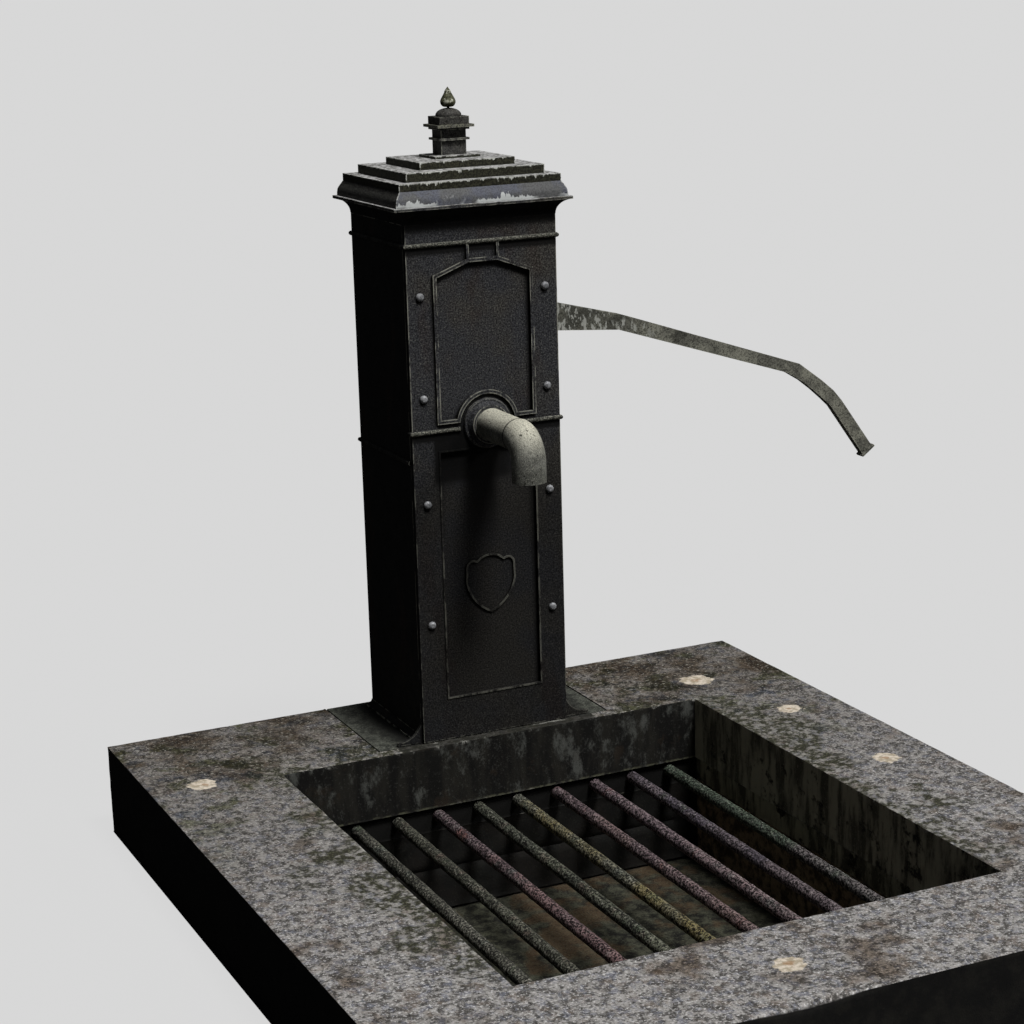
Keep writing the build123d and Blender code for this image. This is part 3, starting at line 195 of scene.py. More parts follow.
def new_piece(name, points, faces, body="standing", sharp=35):
    """A mesh object from points and faces, smooth except at sharp angles, riding on a body."""
    mesh = bpy.data.meshes.new(name)
    mesh.from_pydata([tuple(p) for p in points], [], [tuple(int(i) for i in f) for f in faces])
    mesh.update()
    mesh.shade_smooth()
    mesh.set_sharp_from_angle(angle=math.radians(sharp))
    piece = bpy.data.objects.new(name, mesh)
    bpy.context.scene.collection.objects.link(piece)
    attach(piece, body)
    return piece


def vertex_normals(points, quads):
    """Average outward normal at each point."""
    across = np.cross(points[quads[:, 2]] - points[quads[:, 0]], points[quads[:, 3]] - points[quads[:, 1]])
    normals = np.zeros_like(points)
    for k in range(4):
        np.add.at(normals, quads[:, k], across)
    return normals / np.maximum(np.linalg.norm(normals, axis=1, keepdims=True), 1e-12)


def round_edge(points, depth_a, depth_b, into_a, into_b, radius):
    """Presses points near a straight edge onto a rounding; depths are measured into the stone."""
    near = (depth_a < radius) & (depth_b < radius) & (depth_a > -1e-6) & (depth_b > -1e-6)
    away_a, away_b = radius - depth_a, radius - depth_b
    length = np.maximum(np.hypot(away_a, away_b), 1e-9)
    push = np.where(near & (length > radius), 1 - radius / length, 0)
    points += np.outer(away_a * push, into_a) + np.outer(away_b * push, into_b)


def wear_slab_edges(points, open_low, open_high):
    """Rounds the slab's outer edges and the rim of its opening; the radius changes along each edge."""
    depth = slab_top - points[:, 2]
    from_corner = np.minimum(np.abs(points[:, 0] - slab_low.x), np.abs(points[:, 0] - slab_high.x))
    from_corner = np.maximum(from_corner, np.minimum(points[:, 1] - slab_low.y, slab_high.y - points[:, 1]))
    chips = smooth_step(random_field(points, 22, 2), 0.45, 0.9) * smooth_step(from_corner, 30 * MM, 90 * MM)
    wear = 3 * MM + 1.5 * MM * random_field(points, 14, 1) + 8 * MM * chips
    # the front edge has one broad broken-out stretch
    broken_x, broken_width, broken_depth = -slab_high.x * 0.15, 80 * MM, 16 * MM
    front_wear = wear + broken_depth * np.exp(-(((points[:, 0] - broken_x) / broken_width) ** 2))
    side_wear, rim_wear, back_rim_wear = wear * 0.6, wear * 0.8, wear * 1.1
    corner_wear = np.full(len(points), 2 * MM)
    down = (0, 0, -1)
    sides_x = [(slab_low.x, 1), (slab_high.x, -1)]
    sides_y = [(slab_low.y, 1, front_wear), (slab_high.y, -1, side_wear)]
    for at, inward in sides_x:
        round_edge(points, inward * (points[:, 0] - at), depth, (inward, 0, 0), down, side_wear)
    for at, inward, radius in sides_y:
        round_edge(points, inward * (points[:, 1] - at), depth, (0, inward, 0), down, radius)
    for at_y, in_y, _ in sides_y:
        for at_x, in_x in sides_x:
            round_edge(points, in_x * (points[:, 0] - at_x), in_y * (points[:, 1] - at_y),
                       (in_x, 0, 0), (0, in_y, 0), corner_wear)
    along_x = (points[:, 0] > open_low[0] - touch) & (points[:, 0] < open_high[0] + touch)
    along_y = (points[:, 1] > open_low[1] - touch) & (points[:, 1] < open_high[1] + touch)
    far_off = 1.0
    for at, outward in ((open_low[0], -1), (open_high[0], 1)):
        behind = np.where(along_y, outward * (points[:, 0] - at), far_off)
        round_edge(points, behind, depth, (outward, 0, 0), down, rim_wear)
    for at, outward, radius in ((open_low[1], -1, rim_wear), (open_high[1], 1, back_rim_wear)):
        behind = np.where(along_x, outward * (points[:, 1] - at), far_off)
        round_edge(points, behind, depth, (0, outward, 0), down, radius)


def replace_stone_slab():
    """The slab as a stone with worn edges, a sunk seat for the base plate and an uneven top."""
    open_low, open_high = inner_box("stone_slab", slab_low.z, clear=plate_high.x)
    open_low, open_high = open_low + set_back, open_high - set_back
    seat_x = plate_high.x + seat_gap
    seat_low_y, seat_high_y = plate_low.y - seat_gap, plate_high.y + seat_gap
    beside = [1.5 * MM, 4 * MM]
    xs = [slab_low.x, open_low[0] - set_back, open_low[0], -seat_x, seat_x, open_high[0],
          open_high[0] + set_back, slab_high.x]
    ys = [slab_low.y, open_low[1] - set_back, open_low[1], open_high[1], open_high[1] + set_back,
          seat_low_y, seat_high_y, slab_high.y]
    zs = [slab_low.z, course_z, plate_low.z, slab_top]
    xs, ys, zs = (grid_lines(marks, stone_step, beside) for marks in (xs, ys, zs))

    def solid(x, y, z):
        reach = np.where(z > course_z, 0, set_back)
        void = (x > open_low[0] - reach) & (x < open_high[0] + reach)
        void &= (y > open_low[1] - reach) & (y < open_high[1] + reach)
        seat = (np.abs(x) < seat_x) & (y > seat_low_y) & (y < seat_high_y) & (z > plate_low.z)
        return ~void & ~seat

    points, quads = grid_solid(xs, ys, zs, solid)
    # how near each point is to the seat is measured before the edges are worn
    depth = slab_top - points[:, 2]
    wear_slab_edges(points, open_low, open_high)
    # uneven faces, only ever below the true size; the seat and the underside stay flat
    normals = vertex_normals(points, quads)
    seat_edge, seat_reach, top_share = 2 * MM, 9 * MM, 0.7
    in_seat = (np.abs(points[:, 0]) < seat_x + seat_edge) & (points[:, 1] > seat_low_y - seat_edge)
    in_seat &= depth < seat_reach
    hollow = 0.5 * MM * (rough_field(points, 9, 5) + 1) + 0.5 * MM * (rough_field(points, 70, 8) + 1)
    upright = np.abs(normals[:, 2]) < 0.5
    hollow = np.where(upright, hollow, hollow * top_share)
    hollow = np.where(in_seat | (normals[:, 2] < -0.5), 0, hollow)
    points -= normals * hollow[:, None]
    piece = new_piece("worn_stone_slab", points, quads)
    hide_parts("stone_slab")
    return piece, open_low, open_high


def joint_sink(points, low_z, high_z):
    """How far the joints between laid stones sink at each point of an upright wall."""
    row = np.floor((points[:, 2] - low_z) / stone_course)
    along = points[:, 0] + points[:, 1]
    shift = random_field(np.stack([row, row, row], 1), 0.77, 31) * stone_length * 0.2
    shift = (row % 2) * stone_length / 2 + shift
    courses = (points[:, 2] - low_z) / stone_course
    stones = (along + shift) / stone_length
    to_bed = np.abs(courses - np.round(courses)) * stone_course
    to_end = np.abs(stones - np.round(stones)) * stone_length
    near = np.minimum(to_bed, to_end) + 2 * MM * random_field(points, 60, 33)
    return joint_depth * (1 - smooth_step(near, 3 * MM, 9 * MM)) * (points[:, 2] < high_z)


def replace_pit_walls():
    """Masonry lining of the pit: courses of stones with sunk joints on the inner faces."""
    low, high = inner_box("pit_walls", walls_high.z)
    xs = grid_lines([walls_low.x, low[0], high[0], walls_high.x], stone_step)
    ys = grid_lines([walls_low.y, low[1], high[1], walls_high.y], stone_step)
    zs = grid_lines([walls_low.z, walls_high.z], stone_step)
    drain_y, drain_z = (drain_low.y + drain_high.y) / 2, (drain_low.z + drain_high.z) / 2
    drain_bore = (drain_high.z - drain_low.z) / 2 - drain_wall

    def solid(x, y, z):
        void = (x > low[0]) & (x < high[0]) & (y > low[1]) & (y < high[1])
        drain = (x < low[0]) & (np.hypot(y - drain_y, z - drain_z) < drain_bore)
        return ~void & ~drain

    points, quads = grid_solid(xs, ys, zs, solid)
    normals = vertex_normals(points, quads)
    within = (points[:, 0] > low[0] - touch) & (points[:, 0] < high[0] + touch)
    within &= (points[:, 1] > low[1] - touch) & (points[:, 1] < high[1] + touch)
    sunk = joint_sink(points, walls_low.z, walls_high.z - touch)
    sunk += 2.2 * MM * (rough_field(points, 25, 40) + 1)
    sunk = np.where(within & (np.abs(normals[:, 2]) < 0.5), sunk, 0)
    points -= normals * sunk[:, None]
    piece = new_piece("pit_masonry_walls", points, quads)
    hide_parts("pit_walls")
    return piece


def replace_pit_floor():
    """Rough, worn floor of the pit."""
    xs = grid_lines([floor_low.x, floor_high.x], floor_step)
    ys = grid_lines([floor_low.y, floor_high.y], floor_step)
    zs = grid_lines([floor_low.z, floor_high.z], 25 * MM)
    points, quads = grid_solid(xs, ys, zs, lambda x, y, z: np.ones(x.shape, bool))
    top = points[:, 2] > floor_high.z - touch
    sunk = 3 * MM * (rough_field(points, 8, 50) + 1) + 1.2 * MM * (rough_field(points, 45, 55) + 1)
    points[:, 2] -= np.where(top, sunk, 0)
    piece = new_piece("pit_rough_floor", points, quads)
    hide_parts("pit_floor")
    return piece


def rusted_bar(x, rings, sides):
    """Points of one forged bar, a little bent and eaten by rust all along, and its two end points."""
    along = np.linspace(0, 1, rings)
    turn = np.linspace(0, 2 * math.pi, sides, endpoint=False)
    along, turn = np.meshgrid(along, turn, indexing="ij")
    y = bars_low.y + along.ravel() * (bars_high.y - bars_low.y)
    centre_line = np.stack([np.full(y.size, x), y, np.full(y.size, (bars_high.z + bars_low.z) / 2)], 1)
    out = np.stack([np.cos(turn).ravel(), np.zeros(y.size), np.sin(turn).ravel()], 1)
    skin = centre_line + out * bar_radius
    loss = 0.7 * MM * (rough_field(skin, 60, 60) + 1)
    loss = loss + 1.1 * MM * smooth_step(random_field(skin, 190, 63), 0.2, 0.8)
    loss += 0.25 * MM * (random_field(skin, 420, 64) + 1)
    skin -= out * loss[:, None]
    skin[:, 2] += 1.2 * MM * random_field(centre_line, 6, 65) - 0.6 * MM
    return np.concatenate([skin, skin[:sides].mean(0)[None], skin[-sides:].mean(0)[None]])


def replace_grate_bars():
    """Ten rusted bars in one piece, each with a material of its own."""
    rings, sides = 230, 30
    points, faces, bar_of_face = [], [], []
    for bar in range(bar_count):
        points.append(rusted_bar(bars_low.x + bar_radius + bar * bar_pitch, rings, sides))
        start = bar * (rings * sides + 2)
        last_ring = start + (rings - 1) * sides
        first_end, last_end = start + rings * sides, start + rings * sides + 1
        for ring in range(start, last_ring, sides):
            for s in range(sides):
                t = (s + 1) % sides
                faces.append([ring + s, ring + sides + s, ring + sides + t, ring + t])
        for s in range(sides):
            t = (s + 1) % sides
            faces.append([first_end, start + s, start + t])
            faces.append([last_end, last_ring + t, last_ring + s])
        bar_of_face += [bar] * (len(faces) - len(bar_of_face))
    piece = new_piece("rusted_grate_bars", np.concatenate(points), faces, sharp=60)
    for bar in range(bar_count):
        piece.data.materials.append(bar_paint(bar))
    piece.data.polygons.foreach_set("material_index", bar_of_face)
    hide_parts("grate_bars")
    return piece


# ------------------------------------------------------------ materials
def colour(text):
    """Linear colour from an sRGB hex value."""
    parts = [int(text[k:k + 2], 16) / 255 for k in (0, 2, 4)]
    return (*[p / 12.92 if p <= 0.04045 else ((p + 0.055) / 1.055) ** 2.4 for p in parts], 1)


class Paint:
    """One node material. Each method adds nodes and gives back an output socket."""

    def __init__(self, name):
        self.material = bpy.data.materials.new(name)
        self.material.use_nodes = True
        self.tree = self.material.node_tree
        self.tree.nodes.clear()
        coordinates = self.add("ShaderNodeTexCoord")
        self.place = coordinates.outputs["Object"]
        self.facing = coordinates.outputs["Normal"]

    def add(self, kind, **settings):
        node = self.tree.nodes.new(kind)
        for key, value in settings.items():
            setattr(node, key, value)
        return node

    def put(self, socket, value):
        if isinstance(value, bpy.types.NodeSocket):
            self.tree.links.new(value, socket)
        else:
            socket.default_value = value

    def calc(self, operation, a, b=0.0, clamp=False):
        node = self.add("ShaderNodeMath", operation=operation, use_clamp=clamp)
        self.put(node.inputs[0], a)
        self.put(node.inputs[1], b)
        return node.outputs[0]

    def plus(self, a, b):
        return self.calc("ADD", a, b)

    def minus(self, a, b):
        return self.calc("SUBTRACT", a, b)

    def size(self, a):
        return self.calc("ABSOLUTE", a)

    def either(self, a, b):
        return self.calc("MAXIMUM", a, b)

    def both(self, *masks):
        """Up only where every mask is; a plain number sets the strength."""
        whole = masks[0]
        for mask in masks[1:]:
            whole = self.calc("MULTIPLY", whole, mask)
        return whole

    def ramp(self, value, gain, base):
        return self.plus(base, self.both(value, gain))

    def xyz(self, vector=None):
        node = self.add("ShaderNodeSeparateXYZ")
        self.put(node.inputs[0], vector or self.place)
        return node.outputs

    def stretch(self, x, y, z):
        node = self.add("ShaderNodeMapping")
        self.put(node.inputs["Vector"], self.place)
        node.inputs["Scale"].default_value = (x, y, z)
        return node.outputs[0]

    def noise(self, scale, detail=3.0, roughness=0.6, at=None):
        node = self.add("ShaderNodeTexNoise")
        self.put(node.inputs["Vector"], at or self.place)
        node.inputs["Scale"].default_value = scale
        node.inputs["Detail"].default_value = detail
        node.inputs["Roughness"].default_value = roughness
        return node.outputs["Fac"]

    def cells(self, scale):
        node = self.add("ShaderNodeTexVoronoi")
        self.put(node.inputs["Vector"], self.place)
        node.inputs["Scale"].default_value = scale
        return node.outputs["Distance"]

    def between(self, value, low, high, smooth=True):
        """0 below low, 1 above high; low may be the larger one."""
        node = self.add("ShaderNodeMapRange", interpolation_type="SMOOTHSTEP" if smooth else "LINEAR")
        swap = low > high
        self.put(node.inputs[0], value)
        node.inputs[1].default_value = min(low, high)
        node.inputs[2].default_value = max(low, high)
        node.inputs[3].default_value = 1.0 if swap else 0.0
        node.inputs[4].default_value = 0.0 if swap else 1.0
        return node.outputs[0]

    def within(self, value, out_low, in_low, in_high, out_high):
        """1 from in_low to in_high, falling to 0 at out_low and out_high."""
        return self.both(self.between(value, out_low, in_low), self.between(value, out_high, in_high))

    def patches(self, scale, detail, roughness, low, high, at=None):
        """Noise turned into patches: 0 where it is below low, 1 above high."""
        return self.between(self.noise(scale, detail, roughness, at=at), low, high)

    def mix(self, mask, a, b, blend="MIX"):
        node = self.add("ShaderNodeMix", data_type="RGBA", blend_type=blend)
        self.put(node.inputs[0], mask)
        self.put(node.inputs[6], colour(a) if isinstance(a, str) else a)
        self.put(node.inputs[7], colour(b) if isinstance(b, str) else b)
        return node.outputs[2]

    def over(self, skin, tint, *masks):
        """The skin with a tint laid over it where every mask is up."""
        return self.mix(self.both(*masks), skin, tint)

    def stained(self, skin, tint, *masks):
        """The skin darkened by a see-through tint where every mask is up."""
        return self.mix(self.both(*masks), skin, self.mix(1.0, skin, tint, "MULTIPLY"))

    def edges(self, distance, samples=8):
        """1 at outer edges, falling to 0 at the given distance from them."""
        node = self.add("ShaderNodeAmbientOcclusion", inside=True, only_local=True, samples=samples)
        node.inputs["Distance"].default_value = distance
        return self.calc("MULTIPLY", self.minus(1.0, node.outputs["AO"]), 2.0, clamp=True)

    def hollows(self, distance, samples=8, toward=None):
        """1 deep in corners and joints, 0 in the open; toward makes it look for shelter on one side only."""
        node = self.add("ShaderNodeAmbientOcclusion", only_local=False, samples=samples)
        node.inputs["Distance"].default_value = distance
        if toward:
            way = self.add("ShaderNodeCombineXYZ")
            for k in range(3):
                way.inputs[k].default_value = toward[k]
            self.put(node.inputs["Normal"], way.outputs[0])
        return self.minus(1.0, node.outputs["AO"])

    def finish(self, base, roughness, height, depth, strength, metallic=0.0, specular=0.5, sheen=0.0):
        shader = self.add("ShaderNodeBsdfPrincipled")
        self.put(shader.inputs["Base Color"], base)
        self.put(shader.inputs["Roughness"], roughness)
        self.put(shader.inputs["Metallic"], metallic)
        self.put(shader.inputs["Specular IOR Level"], specular)
        shader.inputs["Sheen Weight"].default_value = sheen
        bump = self.add("ShaderNodeBump")
        bump.inputs["Strength"].default_value = strength
        bump.inputs["Distance"].default_value = depth
        self.put(bump.inputs["Height"], height)
        self.put(shader.inputs["Normal"], bump.outputs[0])
        out = self.add("ShaderNodeOutputMaterial")
        self.put(out.inputs["Surface"], shader.outputs[0])
        return self.material


def granite_grain(p, y, grain, blotch):
    """Grey stone with blue and brown crystals, dimmer and warmer towards the back."""
    stone = p.mix(p.between(blotch, 0.42, 0.58), "4c4a48", "989694")
    stone = p.over(stone, "6e7280", p.patches(55, 4, 0.7, 0.5, 0.62, at=p.stretch(1, 0.8, 1)), 0.6)
    stone = p.over(stone, "7c7066", p.patches(38, 4, 0.6, 0.53, 0.66, at=p.stretch(1.1, 1, 1)), 0.5)
    stone = p.over(stone, "d4d3d4", p.between(grain, 0.54, 0.66), 0.9)
    stone = p.over(stone, "1e1c1b", p.between(grain, 0.46, 0.35), 0.9)
    front = p.between(y, slab_high.y * 0.2, slab_low.y * 0.72, smooth=False)
    return p.mix(1.0, stone, p.mix(p.ramp(front, 0.65, 0.35), "9a948c", "ffffff"), "MULTIPLY")


def granite_weathering(p, stone, grain, blotch, from_rim, open_low, open_high):
    """Brown clouds, moss that grows out from the opening's rim, and patchy crusts on the back half."""
    _, y, _ = p.xyz()
    cloud = p.noise(9, 3, 0.6)
    stone = p.stained(stone, "a08d78", p.between(cloud, 0.53, 0.7), 0.8)
    moss_reach = p.both(p.patches(7, 4, 0.7, 0.36, 0.68), 170 * MM)
    moss = p.between(p.minus(from_rim, moss_reach), 20 * MM, -50 * MM)
    moss = p.both(moss, p.between(y, open_low[1] - 10 * MM, open_low[1] + 120 * MM))
    stone = p.over(stone, "26261b", moss, p.between(blotch, 0.62, 0.42))
    stone = p.over(stone, "6f705c", moss, p.between(grain, 0.5, 0.62), 0.5)
    behind = p.between(y, open_high[1] - 20 * MM, open_high[1] + 140 * MM)
    stone = p.stained(stone, "bdb09e", behind, p.between(cloud, 0.4, 0.6))
    back_half = p.between(y, (open_high[1] + open_low[1]) / 2, open_high[1])
    stone = p.stained(stone, "a2a884", back_half, p.patches(13, 4, 0.65, 0.53, 0.62))
    stone = p.stained(stone, "a8b2c4", back_half, p.patches(17, 4, 0.65, 0.55, 0.64))
    return p.over(stone, "b4b2aa", back_half, p.patches(150, 4, 0.7, 0.56, 0.66), 0.55)


def opening_faces(p, grain):
    """The opening's own faces: wet, dark and streaked, with painted shade under the ledge and painted light
    on the lever's side.
    """
    _, _, z = p.xyz()
    across, _, _ = p.xyz(p.facing)
    streaks = p.noise(34, 4, 0.65, at=p.stretch(1, 1, 0.22))
    inner = p.mix(p.between(streaks, 0.4, 0.62), "050504", "1b1a16")
    inner = p.over(inner, "50524f", p.patches(24, 6, 0.75, 0.52, 0.66, at=p.stretch(1, 1, 0.55)), 0.8)
    inner = p.over(inner, "7c7e78", p.between(grain, 0.56, 0.68), 0.12)
    inner = p.over(inner, "30261c", p.patches(14, 4, 0.6, 0.58, 0.68), 0.4)
    # painted shade: black below the ledge where the opening is set back
    inner = p.over(inner, "060605", p.between(z, course_z + 4 * MM, course_z - 6 * MM))
    from_ledge = p.size(p.minus(z, course_z + 1 * MM))
    ledge = p.both(p.between(from_ledge, 4 * MM, 1 * MM), p.patches(60, 3, 0.5, 0.44, 0.6))
    inner = p.over(inner, "48493a", ledge, 0.7)
    # painted light: the wall on the lever's side is paler
    painted_light_side = p.mix(p.between(streaks, 0.4, 0.6), "58564a", "aca994")
    painted_light_side = p.over(painted_light_side, "1c1b14", p.patches(20, 4, 0.7, 0.54, 0.66))
    painted_light_side = p.over(painted_light_side, "a8a797", p.between(grain, 0.55, 0.68), 0.6)
    return p.over(inner, painted_light_side, p.between(across, -0.4, -0.7), 0.85)


def lime_rings(p, stone):
    """Dried lime rings on the top, each with a rusty middle."""
    x, y, z = p.xyz()
    lime = p.mix(p.patches(90, 4, 0.65, 0.4, 0.6), "a59a86", "d4cabc")
    wander = p.both(p.minus(p.noise(60, 4, 0.65), 0.5), 38 * MM)
    on_top = p.between(z, slab_top - 20 * MM, slab_top - 10 * MM)
    for spot_x, spot_y, size in lime_spots:
        square_x = p.calc("POWER", p.minus(x, spot_x), 2.0)
        square_y = p.calc("POWER", p.minus(y, spot_y), 2.0)
        from_spot = p.plus(p.calc("SQRT", p.plus(square_x, square_y)), wander)
        stone = p.over(stone, lime, on_top, p.between(from_spot, size, size * 0.86))
        stone = p.over(stone, "94724e", on_top, p.between(from_spot, size * 0.34, size * 0.12), 0.7)
    return stone


def granite_paint(open_low, open_high):
    """Mottled grey granite: bright at the front, mossy round the opening, almost black down its sides."""
    p = Paint("granite")
    x, y, z = p.xyz()
    _, _, up = p.xyz(p.facing)
    grain = p.noise(210, 4, 0.7)
    blotch = p.noise(70, 4, 0.65)
    out_x = p.minus(p.size(p.minus(x, (open_high[0] + open_low[0]) / 2)), (open_high[0] - open_low[0]) / 2)
    out_y = p.minus(p.size(p.minus(y, (open_high[1] + open_low[1]) / 2)), (open_high[1] - open_low[1]) / 2)
    from_rim = p.either(out_x, out_y)
    stone = granite_grain(p, y, grain, blotch)
    stone = granite_weathering(p, stone, grain, blotch, from_rim, open_low, open_high)
    upright = p.between(p.size(up), 0.8, 0.45)
    stone = p.over(stone, opening_faces(p, grain), upright, p.between(from_rim, 30 * MM, 15 * MM))
    # outer sides: almost black
    side = p.mix(p.patches(30, 5, 0.7, 0.4, 0.65), "040404", "141310")
    side = p.over(side, "35332f", p.between(grain, 0.6, 0.75), 0.35)
    stone = p.over(stone, side, upright, p.between(from_rim, 100 * MM, 140 * MM))
    # the damp strip of stone between the pillar's front face and the opening
    strip = p.within(x, cover_low.x - 6 * MM, cover_low.x, cover_high.x, cover_high.x + 6 * MM)
    strip = p.both(strip, p.between(up, 0.5, 0.8))
    strip = p.both(strip, p.between(y, open_high[1] - 20 * MM, open_high[1] - 10 * MM))
    stone = p.over(stone, "1c1c18", strip, 0.85)
    # pale broken crystals where the opening's rim is chipped
    chipped = p.both(p.edges(9 * MM), p.patches(21, 4, 0.65, 0.55, 0.63))
    chipped = p.both(chipped, p.between(z, slab_top - 60 * MM, slab_top - 40 * MM))
    near_rim = p.both(p.between(from_rim, 30 * MM, 10 * MM), p.between(grain, 0.36, 0.5))
    stone = p.over(stone, "b4b4ae", chipped, near_rim, 0.95)
    stone = lime_rings(p, stone)
    height = p.plus(p.both(grain, 0.6), p.both(p.noise(600, 3, 0.6), 0.4))
    return p.finish(stone, p.ramp(grain, 0.25, 0.72), height, depth=1.6 * MM, strength=0.8, specular=0.25)


def masonry_paint(name, base, light, brown):
    """Wet, mossy masonry; painted shade in its joints and on the wall under the pillar, painted light on the
    lever's side.
    """
    p = Paint(name)
    across, along, _ = p.xyz(p.facing)
    blotch = p.noise(40, 5, 0.7)
    stone = p.mix(p.between(blotch, 0.38, 0.64), base, light)
    stone = p.over(stone, brown, p.patches(9, 3, 0.6, 0.5, 0.6), 0.7)
    stone = p.over(stone, "6a6c5c", p.patches(260, 3, 0.7, 0.57, 0.68), 0.6)
    stone = p.over(stone, "0a0a08", p.patches(230, 3, 0.7, 0.48, 0.38), 0.7)
    # painted light: the wall on the lever's side is paler
    painted_light_side = p.mix(p.between(blotch, 0.4, 0.6), "4a4032", "a5937a")
    stone = p.over(stone, painted_light_side, p.between(across, -0.4, -0.7), 0.8)
    # painted shade: faces turned to the front, the wall under the pillar, go black
    stone = p.over(stone, "040403", p.between(along, -0.4, -0.7), 0.85)
    # painted shade in joints and hollows
    stone = p.over(stone, "030302", p.between(p.hollows(25 * MM), 0.35, 0.8))
    height = p.ramp(p.noise(300, 3, 0.6), 0.5, blotch)
    rough = p.ramp(p.patches(12, 3, 0.6, 0.2, 0.55), 0.5, 0.35)
    return p.finish(stone, rough, height, depth=2 * MM, strength=0.8, specular=0.3)


bar_tints = [
    ("4e5044", "6b6d5e"), ("46473f", "66665d"), ("484a40", "67685c"), ("5e5156", "83696a"),
    ("484c42", "686b5c"), ("62645a", "807650"), ("695a5f", "806c6c"), ("72636a", "88777a"),
    ("5c5560", "74696e"), ("505d50", "746c70"),
]
red_rusted_bars = (3, 6, 7)


def bar_paint(bar):
    """Flaking rust and old paint in two tints that drift along the bar, full of small black pits."""
    tint, other = bar_tints[bar]
    p = Paint(f"grate_iron_{bar}")
    _, y, _ = p.xyz()
    toward_front = p.between(y, bars_high.y, bars_low.y, smooth=False)
    drift = p.ramp(toward_front, 0.28, p.noise(7, 3, 0.6))
    skin = p.mix(p.between(drift, 0.5, 0.78), tint, other)
    skin = p.over(skin, "4d5a55" if bar % 2 else "6a5a52", p.patches(24, 4, 0.7, 0.54, 0.7), 0.6)
    flecks = "8a4a3c" if bar in red_rusted_bars else "56664f"
    skin = p.over(skin, flecks, p.patches(17, 3, 0.6, 0.6, 0.7), 0.4)
    speckle = p.noise(250, 3, 0.7)
    skin = p.over(skin, "0c0a09", p.between(speckle, 0.54, 0.47))
    skin = p.over(skin, "b4aea8", p.between(speckle, 0.58, 0.68), 0.6)
    rough = p.ramp(speckle, 0.4, 0.6)
    return p.finish(skin, rough, speckle, depth=1.2 * MM, strength=0.8, specular=0.25)


def cast_paint(name, extra=None, light="43413e", dark="3b3c40", speck="70706a"):
    """Old black paint on cast iron: a sandy grain, faint brown and blue tints, bare metal along the edges,
    painted shade in hollows.
    """
    p = Paint(name)
    grain = p.noise(360, 3, 0.65)
    tint = p.mix(p.patches(5, 3, 0.6, 0.42, 0.6), light, dark)
    tint = p.over(tint, "33251f", p.patches(14, 3, 0.6, 0.55, 0.68, at=p.stretch(1, 1, 0.35)), 0.4)
    skin = p.over(tint, "080808", p.between(grain, 0.53, 0.42), 0.8)
    skin = p.over(skin, speck, p.between(grain, 0.57, 0.68), 0.7)
    worn = p.both(p.edges(2.5 * MM), p.patches(45, 5, 0.75, 0.44, 0.54, at=p.stretch(1, 1, 0.3)))
    skin = p.over(skin, "aeaea2", worn, 0.85)
    if extra:
        skin = extra(p, skin, grain)
    # painted shade: black in corners and hollows
    skin = p.over(skin, "020202", p.between(p.hollows(9 * MM), 0.3, 0.75), 0.8)
    height = p.ramp(p.noise(160, 3, 0.6), 0.7, grain)
    rough = p.ramp(p.noise(35, 3, 0.6), 0.35, 0.5)
    return p.finish(skin, rough, height, depth=0.45 * MM, strength=0.8, specular=0.18)


def cover_details(p, skin, grain):
    """Darker towards the foot, speckled lichen on the two beads, and painted shadow under all that juts out.
    """
    x, y, z = p.xyz()
    span = casing_high.z - casing_low.z
    middle, upper = [casing_low.z + span * share for share in bead_shares]
    # darker towards the foot
    low_down = p.between(z, casing_low.z + 0.72 * span, casing_low.z + 0.40 * span)
    skin = p.stained(skin, "747474", low_down, 0.8)
    # painted shadow: black where the spout, the beads and the cap's lip shade the cover from above
    painted_shadow = p.between(p.hollows(260 * MM, samples=16, toward=(0.30, -0.50, 0.81)), 0.40, 0.60)
    skin = p.over(skin, "020202", painted_shadow, 0.9)
    proud = p.between(y, cover_low.y + 3.4 * MM, cover_low.y + 2.6 * MM)
    recessed = p.between(y, cover_low.y + 2.5 * MM, cover_low.y + 3.5 * MM)
    lichen = p.mix(p.patches(420, 2, 0.6, 0.46, 0.62), "24251f", "84847a")
    for height in (middle, upper):
        skin = p.over(skin, lichen, p.between(p.size(p.minus(z, height)), 6 * MM, 4.5 * MM), proud, 0.85)
        # painted shadow: a black band just under each bead
        under = p.within(z, height - 22 * MM, height - 14 * MM, height - 3 * MM, height)
        skin = p.over(skin, "040404", under, recessed, 0.9)
    # painted shadow of the spout: black under it, ragged along its foot, with a narrow streak below it
    from_spout = p.minus(x, (spout_low.x + spout_high.x) / 2)
    ragged = p.plus(z, p.both(p.minus(grain, 0.5), 60 * MM))
    below_bead = p.between(z, middle, middle - 4 * MM)
    spout_shadow = p.both(p.between(ragged, middle - 104 * MM, middle - 92 * MM), below_bead)
    beside = p.within(from_spout, -112 * MM, -104 * MM, 30 * MM, 70 * MM)
    skin = p.over(skin, "030303", spout_shadow, beside, 0.92)
    shadow_streak = p.both(p.between(ragged, middle - 250 * MM, middle - 130 * MM), below_bead)
    narrow = p.within(from_spout, -60 * MM, -20 * MM, 5 * MM, 35 * MM)
    skin = p.over(skin, "030303", shadow_streak, narrow, 0.85)
    # the shaded band right under the cap
    return p.over(skin, "050505", p.between(z, upper + 18 * MM, upper + 30 * MM), 0.85)


